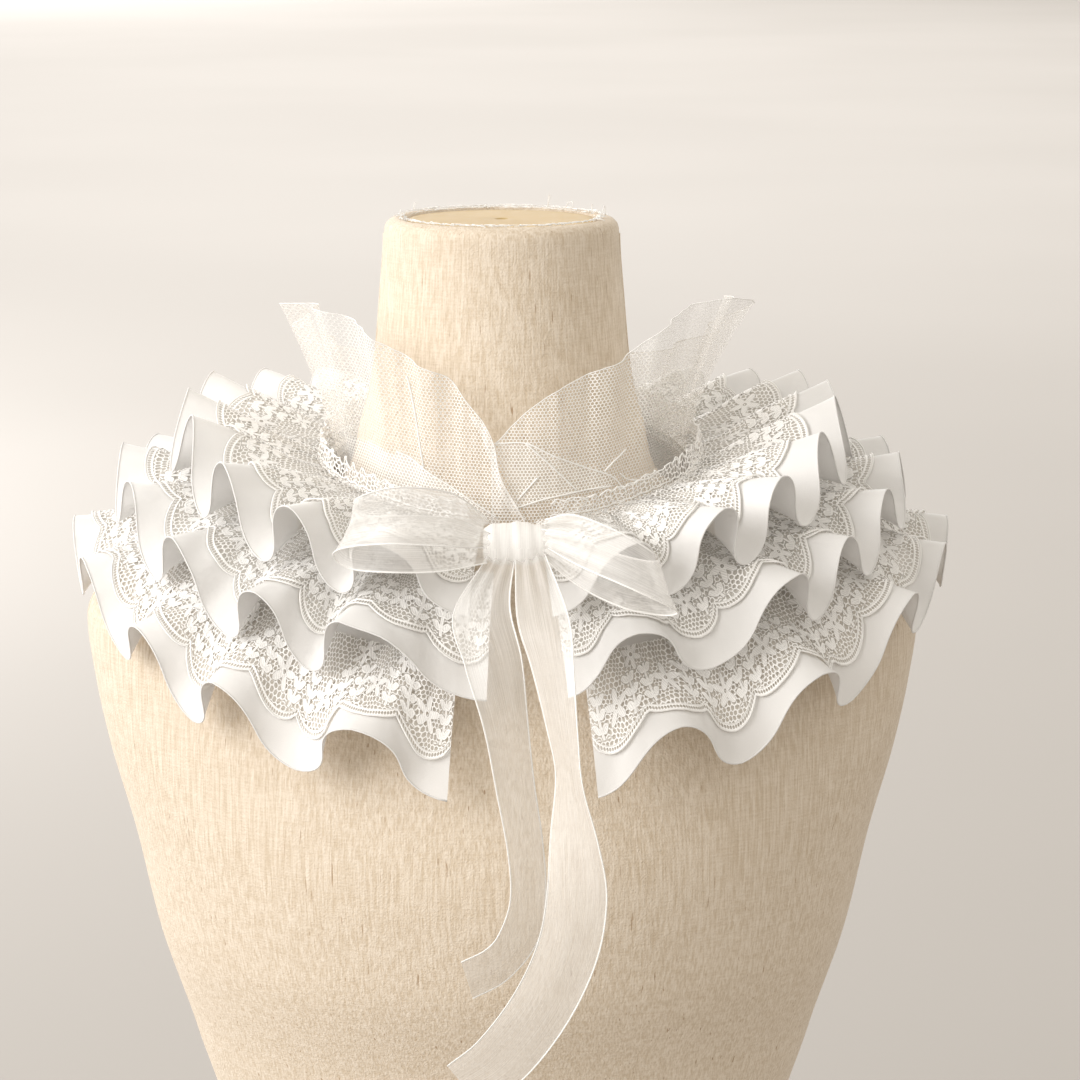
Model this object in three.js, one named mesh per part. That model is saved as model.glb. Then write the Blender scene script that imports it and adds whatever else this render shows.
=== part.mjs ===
// Ruffled lace collar on a limbless dress form.
// Millimetres, +Z up, the front looks towards -Y, the origin is the centre of the form's flat base.
//
// The collar hangs on a guide: a smooth cape around the neck, measured by its way `s` from the
// neckline (0) to the outer rim (1) and by its turn around the neck in degrees. Turn 0 is the
// front, 90 the wearer's right (-X), 180 the back and 270 the wearer's left (+X).
import * as THREE from 'three';

// ---- Driving dimensions ----------------------------------------------------------------------

const FORM_HEIGHT = 650;
const NECK_RIM_RADIUS = 46;
const CAP_RADIUS = 42;
const CAP_THICKNESS = 4;
const CAP_DIMPLE_RADIUS = 3;
const CAP_DIMPLE_DEPTH = 1.5;
const CLOTH = 1.2;
const LACE = 1.0;
const NET = 1.0;
const RIBBON = 1.0;
const SEAM_GAP = 0.35;
const LACE_GAP = 0.55;
const COLLAR_SHIFT_X = 4;
const RIBBON_WIDTH = 25;
// The gathered heading stands this far off the guide, and ripples this far along it.
const HEADING_LIFT = 9.5;
const HEADING_HEIGHT = 9;
const HEADING_WAVES = 34;
const HEADING_SWING = 0.012;
// The folds open towards the hem by this power of the way, and their crests are drawn up by this
// share of the guide.
const FOLD_EASE = 1.4;
const FOLD_DRAW = 0.14;
// How flat the cloth is between its folds: at 1 it swings as a sine, at 0 it zigzags.
const FOLD_ROUND = 0.7;
// Towards the head the folds flatten by this power of the way, from this share on.
const FLATTEN_POWER = 0.6;
const FLATTEN_FROM = 0.05;
// Where the collar's base and its heading end at the front, by turn, and where they lie on the
// guide.
const BASE_TURNS = { start: 13, end: 347 };
const BASE_SHARES = [0.01, 0.22, 0.44, 0.66];
const BASE_LIFT = 0.8;
const HEADING_TURNS = { start: 12, end: 348 };
const HEADING_FOOT = 0.055;
const HEADING_TOP = 0.035;
// The net stands this far inside the neckline, and leans out by this power of its height.
const NET_INSET = 1.4;
const NET_LEAN_POWER = 1.7;
const NET_ROWS = [1, 0.66, 0.33, 0];

// The dress form, from its base to the top of its neck: half its width, and how far its surface
// lies in front of and behind the neck's axis.
const FORM_SECTIONS = [
  { z: 0, halfWidth: 157, front: 104, back: 112 },
  { z: 6, halfWidth: 161, front: 107, back: 115 },
  { z: 50, halfWidth: 165, front: 110, back: 118 },
  { z: 110, halfWidth: 158, front: 104, back: 112 },
  { z: 170, halfWidth: 138, front: 94, back: 98 },
  { z: 225, halfWidth: 127, front: 90, back: 88 },
  { z: 280, halfWidth: 141, front: 102, back: 90 },
  { z: 330, halfWidth: 157, front: 119, back: 96 },
  { z: 375, halfWidth: 167, front: 124, back: 100 },
  { z: 415, halfWidth: 178, front: 119, back: 101 },
  { z: 445, halfWidth: 184, front: 112, back: 99 },
  { z: 470, halfWidth: 187, front: 104, back: 96 },
  { z: 487, halfWidth: 180, front: 95, back: 93 },
  { z: 501, halfWidth: 160, front: 86, back: 89 },
  { z: 514, halfWidth: 134, front: 77, back: 85 },
  { z: 523, halfWidth: 96, front: 68, back: 78 },
  { z: 532, halfWidth: 73, front: 64.5, back: 73 },
  { z: 543, halfWidth: 66, front: 62, back: 66 },
  { z: 556, halfWidth: 63.5, front: 60.5, back: 61 },
  { z: 580, halfWidth: 57.5, front: 57, back: 57 },
  { z: 615, halfWidth: 54, front: 54, back: 54 },
  { z: 645, halfWidth: 52, front: 52, back: 52 },
];

// The guide that the collar hangs on, by turn from the front to the back. The neckline, the
// elbow that the guide leans to and the rim each have a reach from the neck's axis and a height.
// Puff says how far the tiers stand off there.
const GUIDE_STATIONS = [
  { turn: 0, neck: 73, neckZ: 525, elbow: 104, elbowZ: 501, rim: 132, rimZ: 430, puff: 0.75 },
  { turn: 22, neck: 74, neckZ: 526, elbow: 108, elbowZ: 503, rim: 137, rimZ: 434, puff: 0.95 },
  { turn: 48, neck: 77, neckZ: 531, elbow: 124, elbowZ: 515, rim: 155, rimZ: 449, puff: 1 },
  { turn: 90, neck: 78, neckZ: 537, elbow: 146, elbowZ: 533, rim: 186, rimZ: 493, puff: 1 },
  { turn: 132, neck: 74, neckZ: 548, elbow: 120, elbowZ: 539, rim: 149, rimZ: 475, puff: 1 },
  { turn: 180, neck: 68, neckZ: 556, elbow: 102, elbowZ: 545, rim: 119, rimZ: 468, puff: 0.95 },
];

// Where each tier starts and ends on the guide, and how far its head and hem stand off it.
const TIERS = {
  upper: { head: 0.015, hem: 0.545, headLift: 3, hemLift: 35.5, colour: 0xf8f5f1 },
  middle: { head: 0.3, hem: 0.8, headLift: 3, hemLift: 25.5, colour: 0xf6f3ef },
  lower: { head: 0.64, hem: 1.08, headLift: 2.6, hemLift: 12, colour: 0xf4f1ec },
};

// The crests of each tier's folds: their turn, how far they swing out and in, and how steeply
// the cloth turns between them, in degrees. The first and last rows lie past the tier's ends,
// which are halfway to them.
const UPPER_FOLDS = [
  { turn: -9, swing: 9, curl: 70 },
  { turn: 25, swing: 12, curl: 88 },
  { turn: 40, swing: 13, curl: 84 },
  { turn: 57, swing: 13, curl: 80 },
  { turn: 73, swing: 14, curl: 84 },
  { turn: 90, swing: 13, curl: 78 },
  { turn: 107, swing: 14, curl: 82 },
  { turn: 124, swing: 13, curl: 80 },
  { turn: 139, swing: 12, curl: 86 },
  { turn: 156, swing: 13, curl: 78 },
  { turn: 171, swing: 12, curl: 84 },
  { turn: 188, swing: 13, curl: 80 },
  { turn: 203, swing: 12, curl: 84 },
  { turn: 219, swing: 13, curl: 78 },
  { turn: 233, swing: 13, curl: 86 },
  { turn: 248, swing: 14, curl: 82 },
  { turn: 263, swing: 13, curl: 78 },
  { turn: 277, swing: 14, curl: 84 },
  { turn: 291, swing: 11, curl: 84 },
  { turn: 307, swing: 11, curl: 90 },
  { turn: 321, swing: 13, curl: 92 },
  { turn: 337, swing: 11, curl: 82 },
  { turn: 366, swing: 9, curl: 70 },
];

const MIDDLE_FOLDS = [
  { turn: -20, swing: 7, curl: 70 },
  { turn: 28, swing: 11, curl: 80 },
  { turn: 42, swing: 11, curl: 84 },
  { turn: 59, swing: 12, curl: 82 },
  { turn: 75, swing: 11, curl: 84 },
  { turn: 91, swing: 12, curl: 80 },
  { turn: 106, swing: 11, curl: 84 },
  { turn: 122, swing: 12, curl: 78 },
  { turn: 137, swing: 11, curl: 84 },
  { turn: 153, swing: 11, curl: 80 },
  { turn: 169, swing: 12, curl: 82 },
  { turn: 184, swing: 11, curl: 84 },
  { turn: 200, swing: 11, curl: 78 },
  { turn: 215, swing: 12, curl: 84 },
  { turn: 230, swing: 11, curl: 80 },
  { turn: 245, swing: 12, curl: 84 },
  { turn: 259, swing: 11, curl: 82 },
  { turn: 273, swing: 10, curl: 84 },
  { turn: 287, swing: 10, curl: 86 },
  { turn: 299, swing: 8, curl: 80 },
  { turn: 311, swing: 11, curl: 84 },
  { turn: 338, swing: 8, curl: 72 },
  { turn: 361, swing: 7, curl: 70 },
];

const LOWER_FOLDS = [
  { turn: -4, swing: 7, curl: 70 },
  { turn: 25, swing: 10, curl: 86 },
  { turn: 47, swing: 10, curl: 80 },
  { turn: 61, swing: 10, curl: 84 },
  { turn: 76, swing: 11, curl: 80 },
  { turn: 91, swing: 11, curl: 84 },
  { turn: 106, swing: 10, curl: 80 },
  { turn: 120, swing: 10, curl: 84 },
  { turn: 136, swing: 11, curl: 78 },
  { turn: 151, swing: 10, curl: 84 },
  { turn: 167, swing: 10, curl: 82 },
  { turn: 182, swing: 11, curl: 80 },
  { turn: 198, swing: 10, curl: 84 },
  { turn: 213, swing: 11, curl: 78 },
  { turn: 228, swing: 10, curl: 84 },
  { turn: 242, swing: 11, curl: 82 },
  { turn: 256, swing: 10, curl: 84 },
  { turn: 268, swing: 11, curl: 84 },
  { turn: 280, swing: 11, curl: 82 },
  { turn: 292, swing: 11, curl: 88 },
  { turn: 310, swing: 10, curl: 84 },
  { turn: 332, swing: 7, curl: 64 },
  { turn: 358, swing: 6, curl: 60 },
];

// The standing ruffle of net, around the neck: its height at each turn, how far its top leans
// out, and how far it folds in and out between one row and the next.
const NET_STATIONS = [
  { turn: 3, height: 22, lean: 1, swing: 0 },
  { turn: 8.5, height: 43, lean: 1, swing: 0 },
  { turn: 13.5, height: 51, lean: 1, swing: 1 },
  { turn: 22, height: 63, lean: 2, swing: 2 },
  { turn: 34, height: 68, lean: 5, swing: 3 },
  { turn: 48, height: 76, lean: 8, swing: 3 },
  { turn: 66, height: 81, lean: 14, swing: 5 },
  { turn: 84, height: 77, lean: 19, swing: 6 },
  { turn: 104, height: 56, lean: 18, swing: 6 },
  { turn: 132, height: 34, lean: 10, swing: 4 },
  { turn: 180, height: 25, lean: 5, swing: 3 },
  { turn: 228, height: 34, lean: 10, swing: 4 },
  { turn: 254, height: 56, lean: 20, swing: 6 },
  { turn: 272, height: 77, lean: 26, swing: 6 },
  { turn: 290, height: 84, lean: 20, swing: 5 },
  { turn: 308, height: 77, lean: 8, swing: 3 },
  { turn: 320, height: 66, lean: 3, swing: 2 },
  { turn: 329, height: 64, lean: 2, swing: 2 },
  { turn: 343, height: 58, lean: 1, swing: 1 },
  { turn: 353, height: 50, lean: 1, swing: 0 },
  { turn: 359, height: 43, lean: 0, swing: 0 },
];
const NET_WAVES = 19;

// Ribbons, by the points of their middle line. Flat is the turn of the ribbon's width about the
// upright, in degrees: at 0 it faces the front. Tilt turns the width out of the level.
const TAIL_LEFT = [
  { x: 0, y: -120, z: 517, flat: 16, tilt: 10, width: 0.55 },
  { x: -7, y: -139, z: 502, flat: 10, tilt: 6, width: 0.95 },
  { x: -2, y: -155, z: 484, flat: 25, tilt: 4, width: 1 },
  { x: 3, y: -164, z: 462, flat: 46, tilt: 4, width: 1 },
  { x: 7, y: -168, z: 434, flat: 54, tilt: 3, width: 1 },
  { x: 11, y: -169, z: 408, flat: 56, tilt: 2, width: 1 },
  { x: 12, y: -169, z: 388, flat: 54, tilt: -6, width: 1 },
  { x: 8, y: -170, z: 371, flat: 48, tilt: -20, width: 1 },
  { x: -1, y: -171, z: 360, flat: 60, tilt: -44, width: 1 },
  { x: -13, y: -173, z: 354, flat: 68, tilt: -58, width: 0.9 },
];

const TAIL_RIGHT = [
  { x: 14, y: -125, z: 517, flat: -14, tilt: 6, width: 0.55 },
  { x: 18, y: -148, z: 502, flat: -22, tilt: 6, width: 0.9 },
  { x: 22, y: -163, z: 484, flat: -46, tilt: 6, width: 1 },
  { x: 26, y: -175, z: 460, flat: -60, tilt: 4, width: 1 },
  { x: 29, y: -181, z: 440, flat: -64, tilt: 2, width: 1 },
  { x: 31, y: -185, z: 418, flat: -40, tilt: 0, width: 1 },
  { x: 32, y: -186, z: 394, flat: -14, tilt: -6, width: 1 },
  { x: 28, y: -186, z: 370, flat: -4, tilt: -16, width: 1 },
  { x: 17, y: -187, z: 346, flat: 0, tilt: -30, width: 1 },
  { x: 1, y: -188, z: 325, flat: 6, tilt: -44, width: 1 },
  { x: -14, y: -188, z: 314, flat: 10, tilt: -52, width: 0.9 },
];

// Each loop of the bow leaves the knot, rounds its end and comes back to the knot.
const LOOP_LEFT = [
  { x: -5, y: -123, z: 531, flat: -10, tilt: 84, width: 0.5 },
  { x: -20, y: -135, z: 539, flat: -16, tilt: 82, width: 0.9 },
  { x: -42, y: -141, z: 542, flat: -24, tilt: 76, width: 1 },
  { x: -58, y: -136, z: 539, flat: -30, tilt: 68, width: 1 },
  { x: -64, y: -129, z: 534, flat: -30, tilt: 64, width: 1 },
  { x: -58, y: -126, z: 528, flat: -30, tilt: 68, width: 1 },
  { x: -40, y: -130, z: 528, flat: -22, tilt: 76, width: 1 },
  { x: -22, y: -126, z: 527, flat: -14, tilt: 82, width: 0.9 },
  { x: -5, y: -117, z: 524, flat: -8, tilt: 84, width: 0.5 },
];

const LOOP_RIGHT = [
  { x: 19, y: -119, z: 530, flat: 10, tilt: -84, width: 0.5 },
  { x: 32, y: -134, z: 530, flat: 14, tilt: -80, width: 0.9 },
  { x: 50, y: -146, z: 525, flat: 20, tilt: -76, width: 1 },
  { x: 64, y: -147, z: 518, flat: 26, tilt: -72, width: 1 },
  { x: 70, y: -142, z: 513, flat: 28, tilt: -70, width: 1 },
  { x: 64, y: -137, z: 511, flat: 24, tilt: -72, width: 1 },
  { x: 49, y: -135, z: 514, flat: 18, tilt: -76, width: 1 },
  { x: 32, y: -125, z: 520, flat: 12, tilt: -80, width: 0.9 },
  { x: 19, y: -113, z: 525, flat: 8, tilt: -84, width: 0.5 },
];

const KNOT = { x: 7, y: -108, z: 524, halfWidth: 10.5, halfDepth: 9, halfHeight: 9 };

// ---- Reading the tables ----------------------------------------------------------------------

// The value of `column` at `at`, on a smooth curve through the rows, which are in order of `key`.
function smooth(rows, key, column, at) {
  const last = rows.length - 1;
  const place = THREE.MathUtils.clamp(at, rows[0][key], rows[last][key]);
  let i = 0;
  while (i < last - 1 && rows[i + 1][key] < place) i += 1;
  const slope = (k) => {
    if (k <= 0 || k >= last) return 0;
    const before = (rows[k][column] - rows[k - 1][column]) / (rows[k][key] - rows[k - 1][key]);
    const after = (rows[k + 1][column] - rows[k][column]) / (rows[k + 1][key] - rows[k][key]);
    if (before * after <= 0) return 0;
    return (2 * before * after) / (before + after);
  };
  const step = rows[i + 1][key] - rows[i][key];
  const t = (place - rows[i][key]) / step;
  const t2 = t * t;
  const t3 = t2 * t;
  return (
    (2 * t3 - 3 * t2 + 1) * rows[i][column] +
    (t3 - 2 * t2 + t) * step * slope(i) +
    (3 * t2 - 2 * t3) * rows[i + 1][column] +
    (t3 - t2) * step * slope(i + 1)
  );
}

// The direction of a turn around the neck, in plan.
function heading(turn) {
  const angle = THREE.MathUtils.degToRad(turn);
  return { x: -Math.sin(angle), y: -Math.cos(angle) };
}

// A point that stands `lift` off the guide, at its turn and its way s.
function onGuide(turn, s, lift) {
  const around = ((turn % 360) + 360) % 360;
  const fold = Math.min(around, 360 - around);
  const row = (column) => smooth(GUIDE_STATIONS, 'turn', column, fold);
  const [neck, elbow, rim] = [row('neck'), row('elbow'), row('rim')];
  const [neckZ, elbowZ, rimZ] = [row('neckZ'), row('elbowZ'), row('rimZ')];
  const bend = (a, b, c) => (1 - s) * (1 - s) * a + 2 * s * (1 - s) * b + s * s * c;
  const run = (a, b, c) => (1 - s) * (b - a) + s * (c - b);
  const outward = run(neck, elbow, rim);
  const down = run(neckZ, elbowZ, rimZ);
  const length = Math.hypot(outward, down);
  const reach = bend(neck, elbow, rim) - (lift * down) / length;
  const way = heading(turn);
  return new THREE.Vector3(
    COLLAR_SHIFT_X + way.x * reach,
    way.y * reach,
    bend(neckZ, elbowZ, rimZ) + (lift * outward) / length,
  );
}

function puffAt(turn) {
  const around = ((turn % 360) + 360) % 360;
  return smooth(GUIDE_STATIONS, 'turn', 'puff', Math.min(around, 360 - around));
}

// One wave of folded cloth, from crest to crest: the cloth's direction swings as a sine along
// its own length, so a steep curl folds it back under itself. Returns how far along the wave
// and how high, from 1 at a crest to -1 between crests, the cloth is at `share` of its length.
function foldShape(curl, share) {
  const steps = 48;
  let along = 0;
  let height = 0;
  let alongHere = 0;
  let heightHere = 0;
  let lowest = 0;
  for (let i = 0; i < steps; i += 1) {
    const swing = Math.sin((2 * Math.PI * (i + 0.5)) / steps);
    const direction = -curl * Math.sign(swing) * Math.abs(swing) ** FOLD_ROUND;
    const part = THREE.MathUtils.clamp(share * steps - i, 0, 1);
    alongHere += part * Math.cos(direction);
    heightHere += part * Math.sin(direction);
    along += Math.cos(direction);
    height += Math.sin(direction);
    lowest = Math.min(lowest, height);
  }
  return { along: alongHere / along, height: 1 - (2 * heightHere) / lowest };
}

// ---- Closed walls from grids of points -------------------------------------------------------

// The grid's points, moved along its normals.
function movedOut(grid, distance) {
  const rows = grid.length;
  const columns = grid[0].length;
  const at = (i, j) => grid[THREE.MathUtils.clamp(i, 0, rows - 1)][
    THREE.MathUtils.clamp(j, 0, columns - 1)
  ];
  return grid.map((row, i) => row.map((point, j) => {
    const along = at(i + 1, j).clone().sub(at(i - 1, j));
    const across = at(i, j + 1).clone().sub(at(i, j - 1));
    return point.clone().addScaledVector(along.cross(across).normalize(), distance);
  }));
}

// A closed wall of even thickness on a grid of points.
function wall(grid, thickness) {
  const rows = grid.length;
  const columns = grid[0].length;
  const positions = [];
  for (const side of [thickness / 2, -thickness / 2]) {
    movedOut(grid, side).flat().forEach((point) => positions.push(point.x, point.y, point.z));
  }
  const back = rows * columns;
  const indices = [];
  const quad = (a, b, c, d) => indices.push(a, b, c, a, c, d);
  for (let i = 0; i < rows - 1; i += 1) {
    const [head, headNext] = [i * columns, (i + 1) * columns];
    for (let j = 0; j < columns - 1; j += 1) {
      const [a, b, c, d] = [head + j, headNext + j, headNext + j + 1, head + j + 1];
      quad(a, b, c, d);
      quad(back + a, back + d, back + c, back + b);
    }
    const [hem, hemNext] = [head + columns - 1, headNext + columns - 1];
    quad(head, back + head, back + headNext, headNext);
    quad(hem, hemNext, back + hemNext, back + hem);
  }
  for (let j = 0; j < columns - 1; j += 1) {
    const end = (rows - 1) * columns + j;
    quad(j, j + 1, back + j + 1, back + j);
    quad(end, back + end, back + end + 1, end + 1);
  }
  const geometry = new THREE.BufferGeometry();
  geometry.setAttribute('position', new THREE.Float32BufferAttribute(positions, 3));
  geometry.setIndex(indices);
  return geometry;
}

// ---- The dress form --------------------------------------------------------------------------

const FORM_SIDES = 32;

// A ring of the form, at a height: two half ellipses, one in front and one behind.
function formRing(z, halfWidth, front, back) {
  const ring = [];
  for (let k = 0; k < FORM_SIDES; k += 1) {
    const way = heading((360 * k) / FORM_SIDES);
    const depth = way.y < 0 ? front : back;
    ring.push(new THREE.Vector3(way.x * halfWidth, way.y * depth, z));
  }
  return ring;
}

// A closed body through a stack of rings, capped at both ends.
function lofted(rings) {
  const positions = [];
  const indices = [];
  const sides = rings[0].length;
  rings.flat().forEach((point) => positions.push(point.x, point.y, point.z));
  for (let i = 0; i < rings.length - 1; i += 1) {
    for (let k = 0; k < sides; k += 1) {
      const next = (k + 1) % sides;
      const [a, b] = [i * sides + k, i * sides + next];
      indices.push(a, b + sides, b, a, a + sides, b + sides);
    }
  }
  const middles = [rings[0], rings[rings.length - 1]].map((ring) => {
    const middle = new THREE.Vector3();
    ring.forEach((point) => middle.addScaledVector(point, 1 / sides));
    positions.push(middle.x, middle.y, middle.z);
    return positions.length / 3 - 1;
  });
  const top = (rings.length - 1) * sides;
  for (let k = 0; k < sides; k += 1) {
    const next = (k + 1) % sides;
    indices.push(middles[0], k, next);
    indices.push(middles[1], top + next, top + k);
  }
  const geometry = new THREE.BufferGeometry();
  geometry.setAttribute('position', new THREE.Float32BufferAttribute(positions, 3));
  geometry.setIndex(indices);
  return geometry;
}

function dressForm() {
  const rings = FORM_SECTIONS.map((row) => formRing(row.z, row.halfWidth, row.front, row.back));
  const seat = CAP_RADIUS + SEAM_GAP;
  const neckEnd = [
    { z: FORM_HEIGHT - 1, radius: 50.5 },
    { z: FORM_HEIGHT, radius: NECK_RIM_RADIUS },
    { z: FORM_HEIGHT - 1, radius: seat },
    { z: FORM_HEIGHT - 1 - CAP_THICKNESS, radius: seat },
  ];
  neckEnd.forEach(({ z, radius }) => rings.push(formRing(z, radius, radius, radius)));
  return lofted(rings);
}

function neckCap() {
  const bottom = FORM_HEIGHT - 1 - CAP_THICKNESS + SEAM_GAP;
  const top = bottom + CAP_THICKNESS;
  const profile = [
    new THREE.Vector2(0, bottom),
    new THREE.Vector2(CAP_RADIUS, bottom),
    new THREE.Vector2(CAP_RADIUS, top - 1),
    new THREE.Vector2(CAP_RADIUS - 1, top),
    new THREE.Vector2(CAP_DIMPLE_RADIUS, top),
    new THREE.Vector2(0, top - CAP_DIMPLE_DEPTH),
  ];
  const geometry = new THREE.LatheGeometry(profile, FORM_SIDES);
  geometry.rotateX(Math.PI / 2);
  return geometry;
}

// ---- The collar ------------------------------------------------------------------------------

const FOLD_STEPS = 6;
const CLOTH_ROWS = [0, 0.38, 0.76, 1];
const SCALLOP_STEPS = 2;
const SCALLOP_DEPTH = 0.2;

// The middle surface of a gathered tier's cloth: flat along its head, folded along its hem.
function tierGrid(tier, folds) {
  const grid = [];
  const first = FOLD_STEPS / 2;
  const last = (folds.length - 1) * FOLD_STEPS - FOLD_STEPS / 2;
  for (let step = first; step <= last; step += 1) {
    const wave = Math.min(Math.floor(step / FOLD_STEPS), folds.length - 2);
    const share = step / FOLD_STEPS - wave;
    const [here, next] = [folds[wave], folds[wave + 1]];
    const ease = share * share * (3 - 2 * share);
    const swing = THREE.MathUtils.lerp(here.swing, next.swing, ease);
    const curl = THREE.MathUtils.degToRad(THREE.MathUtils.lerp(here.curl, next.curl, ease));
    grid.push(CLOTH_ROWS.map((way) => {
      const shape = foldShape(curl * Math.max(way, FLATTEN_FROM) ** FLATTEN_POWER, share);
      const turn = THREE.MathUtils.lerp(here.turn, next.turn, shape.along);
      const lift = THREE.MathUtils.lerp(tier.headLift, tier.hemLift * puffAt(turn), way);
      const fullness = way ** FOLD_EASE;
      const drawn = FOLD_DRAW * fullness * (shape.height + 1) * 0.5;
      const s = THREE.MathUtils.lerp(tier.head, tier.hem, way) - drawn;
      return onGuide(turn, s, lift + swing * fullness * shape.height * puffAt(turn));
    }));
  }
  return grid;
}

function tierCloth(tier, folds) {
  return wall(tierGrid(tier, folds), CLOTH);
}

// The lace lies on the cloth: its points are the cloth's, moved out, without the row at the
// cloth's hem, and its edge is scalloped.
function tierLace(tier, folds) {
  const outward = (CLOTH + LACE) / 2 + LACE_GAP;
  const grid = movedOut(tierGrid(tier, folds), outward).map((row, step) => {
    const kept = row.slice(0, -1);
    const end = kept.length - 1;
    const scallop = step % SCALLOP_STEPS === 0 ? 0 : SCALLOP_DEPTH;
    kept[end] = kept[end].clone().lerp(kept[end - 1], scallop);
    return kept;
  });
  return wall(grid, LACE);
}

// The smooth base that the three tiers are sewn to.
function collarBase() {
  const columns = 44;
  const grid = [];
  for (let k = 0; k <= columns; k += 1) {
    const turn = THREE.MathUtils.lerp(BASE_TURNS.start, BASE_TURNS.end, k / columns);
    grid.push(BASE_SHARES.map((s) => onGuide(turn, s, BASE_LIFT)));
  }
  return wall(grid, CLOTH);
}

// The gathered heading that stands along the neckline.
function neckHeading() {
  const steps = HEADING_WAVES * 4;
  const grid = [];
  for (let k = 0; k <= steps; k += 1) {
    const turn = THREE.MathUtils.lerp(HEADING_TURNS.start, HEADING_TURNS.end, k / steps);
    const ripple = HEADING_SWING * Math.sin((Math.PI / 2) * k);
    const foot = onGuide(turn, HEADING_FOOT, HEADING_LIFT);
    const top = onGuide(turn, HEADING_TOP + ripple, HEADING_LIFT + HEADING_HEIGHT);
    grid.push([top, foot]);
  }
  return wall(grid, LACE);
}

// The standing ruffle of net, all round the neck but for the gap in front.
function netRuffle() {
  const columns = NET_WAVES * 4;
  const [start, end] = [NET_STATIONS[0].turn, NET_STATIONS[NET_STATIONS.length - 1].turn];
  const grid = [];
  for (let k = 0; k <= columns; k += 1) {
    const turn = THREE.MathUtils.lerp(start, end, k / columns);
    const height = smooth(NET_STATIONS, 'turn', 'height', turn);
    const lean = smooth(NET_STATIONS, 'turn', 'lean', turn);
    const swing = smooth(NET_STATIONS, 'turn', 'swing', turn);
    const foot = onGuide(turn, 0, 0);
    const way = heading(turn);
    grid.push(NET_ROWS.map((rise) => {
      const fold = swing * rise * Math.sin((Math.PI / 2) * k);
      const out = lean * rise ** NET_LEAN_POWER + fold - NET_INSET;
      return new THREE.Vector3(
        foot.x + way.x * out,
        foot.y + way.y * out,
        foot.z + height * rise,
      );
    }));
  }
  return wall(grid, NET);
}

// ---- The bow ---------------------------------------------------------------------------------

// The ribbon's width at a row, as a direction.
function widthWay({ flat, tilt }) {
  const [turn, lift] = [THREE.MathUtils.degToRad(flat), THREE.MathUtils.degToRad(tilt)];
  return new THREE.Vector3(
    Math.cos(lift) * Math.cos(turn),
    Math.cos(lift) * Math.sin(turn),
    Math.sin(lift),
  );
}

function ribbon(rows) {
  const grid = rows.map((row) => {
    const middle = new THREE.Vector3(row.x, row.y, row.z);
    const half = (RIBBON_WIDTH / 2) * row.width;
    return [-1, 0, 1].map((side) => middle.clone().addScaledVector(widthWay(row), side * half));
  });
  return wall(grid, RIBBON);
}

function knot() {
  const geometry = new THREE.SphereGeometry(1, 14, 10);
  geometry.scale(KNOT.halfWidth, KNOT.halfDepth, KNOT.halfHeight);
  geometry.translate(KNOT.x, KNOT.y, KNOT.z);
  return geometry;
}

// ---- The whole -------------------------------------------------------------------------------

const part = new THREE.Group();

function add(name, geometry, colour, roughness) {
  const material = new THREE.MeshStandardMaterial({ color: colour, roughness, metalness: 0 });
  material.side = THREE.DoubleSide;
  const mesh = new THREE.Mesh(geometry, material);
  mesh.name = name;
  part.add(mesh);
}

add('dress_form', dressForm(), 0xe9dcc6, 0.9);
add('neck_cap', neckCap(), 0xd9bd8a, 0.8);
add('collar_base', collarBase(), 0xf4f1ec, 0.8);
const foldTables = { upper: UPPER_FOLDS, middle: MIDDLE_FOLDS, lower: LOWER_FOLDS };
for (const [name, tier] of Object.entries(TIERS)) {
  add(`tier_${name}_cloth`, tierCloth(tier, foldTables[name]), tier.colour, 0.7);
  add(`tier_${name}_lace`, tierLace(tier, foldTables[name]), 0xffffff, 0.6);
}
add('neck_heading', neckHeading(), 0xfbf8f4, 0.6);
add('net_ruffle', netRuffle(), 0xf7f2ec, 0.6);
add('ribbon_knot', knot(), 0xf9f5f0, 0.5);
add('bow_loop_left', ribbon(LOOP_LEFT), 0xf9f5f0, 0.5);
add('bow_loop_right', ribbon(LOOP_RIGHT), 0xf9f5f0, 0.5);
add('ribbon_tail_left', ribbon(TAIL_LEFT), 0xf9f5f0, 0.5);
add('ribbon_tail_right', ribbon(TAIL_RIGHT), 0xf9f5f0, 0.5);

export default part;
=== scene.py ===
"""Ruffled lace collar on a limbless dress form: its looks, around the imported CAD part.

The tables and the guide repeat the part's own, in millimetres, and everything made from them is
turned into metres when it becomes a mesh. Turn 0 is the front, 90 the wearer's right (-X).
"""

import math

import bpy
import numpy as np
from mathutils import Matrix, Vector


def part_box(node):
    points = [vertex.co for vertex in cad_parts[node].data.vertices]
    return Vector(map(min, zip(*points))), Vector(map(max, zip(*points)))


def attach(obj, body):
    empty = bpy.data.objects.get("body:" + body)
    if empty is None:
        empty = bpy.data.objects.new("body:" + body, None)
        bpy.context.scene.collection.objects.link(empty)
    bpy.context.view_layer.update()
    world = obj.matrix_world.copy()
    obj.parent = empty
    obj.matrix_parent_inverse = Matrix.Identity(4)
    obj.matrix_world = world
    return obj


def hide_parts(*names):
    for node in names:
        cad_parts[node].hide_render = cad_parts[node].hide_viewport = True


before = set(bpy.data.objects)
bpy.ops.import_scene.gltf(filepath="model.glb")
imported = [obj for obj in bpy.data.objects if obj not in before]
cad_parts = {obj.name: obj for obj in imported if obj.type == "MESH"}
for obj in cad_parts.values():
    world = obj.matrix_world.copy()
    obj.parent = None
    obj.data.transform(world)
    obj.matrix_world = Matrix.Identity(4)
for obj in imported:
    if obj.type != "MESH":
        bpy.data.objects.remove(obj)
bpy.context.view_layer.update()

MM = 0.001
SEED = 7

# ---- Tables shared with the part's source (mm, degrees)

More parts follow.
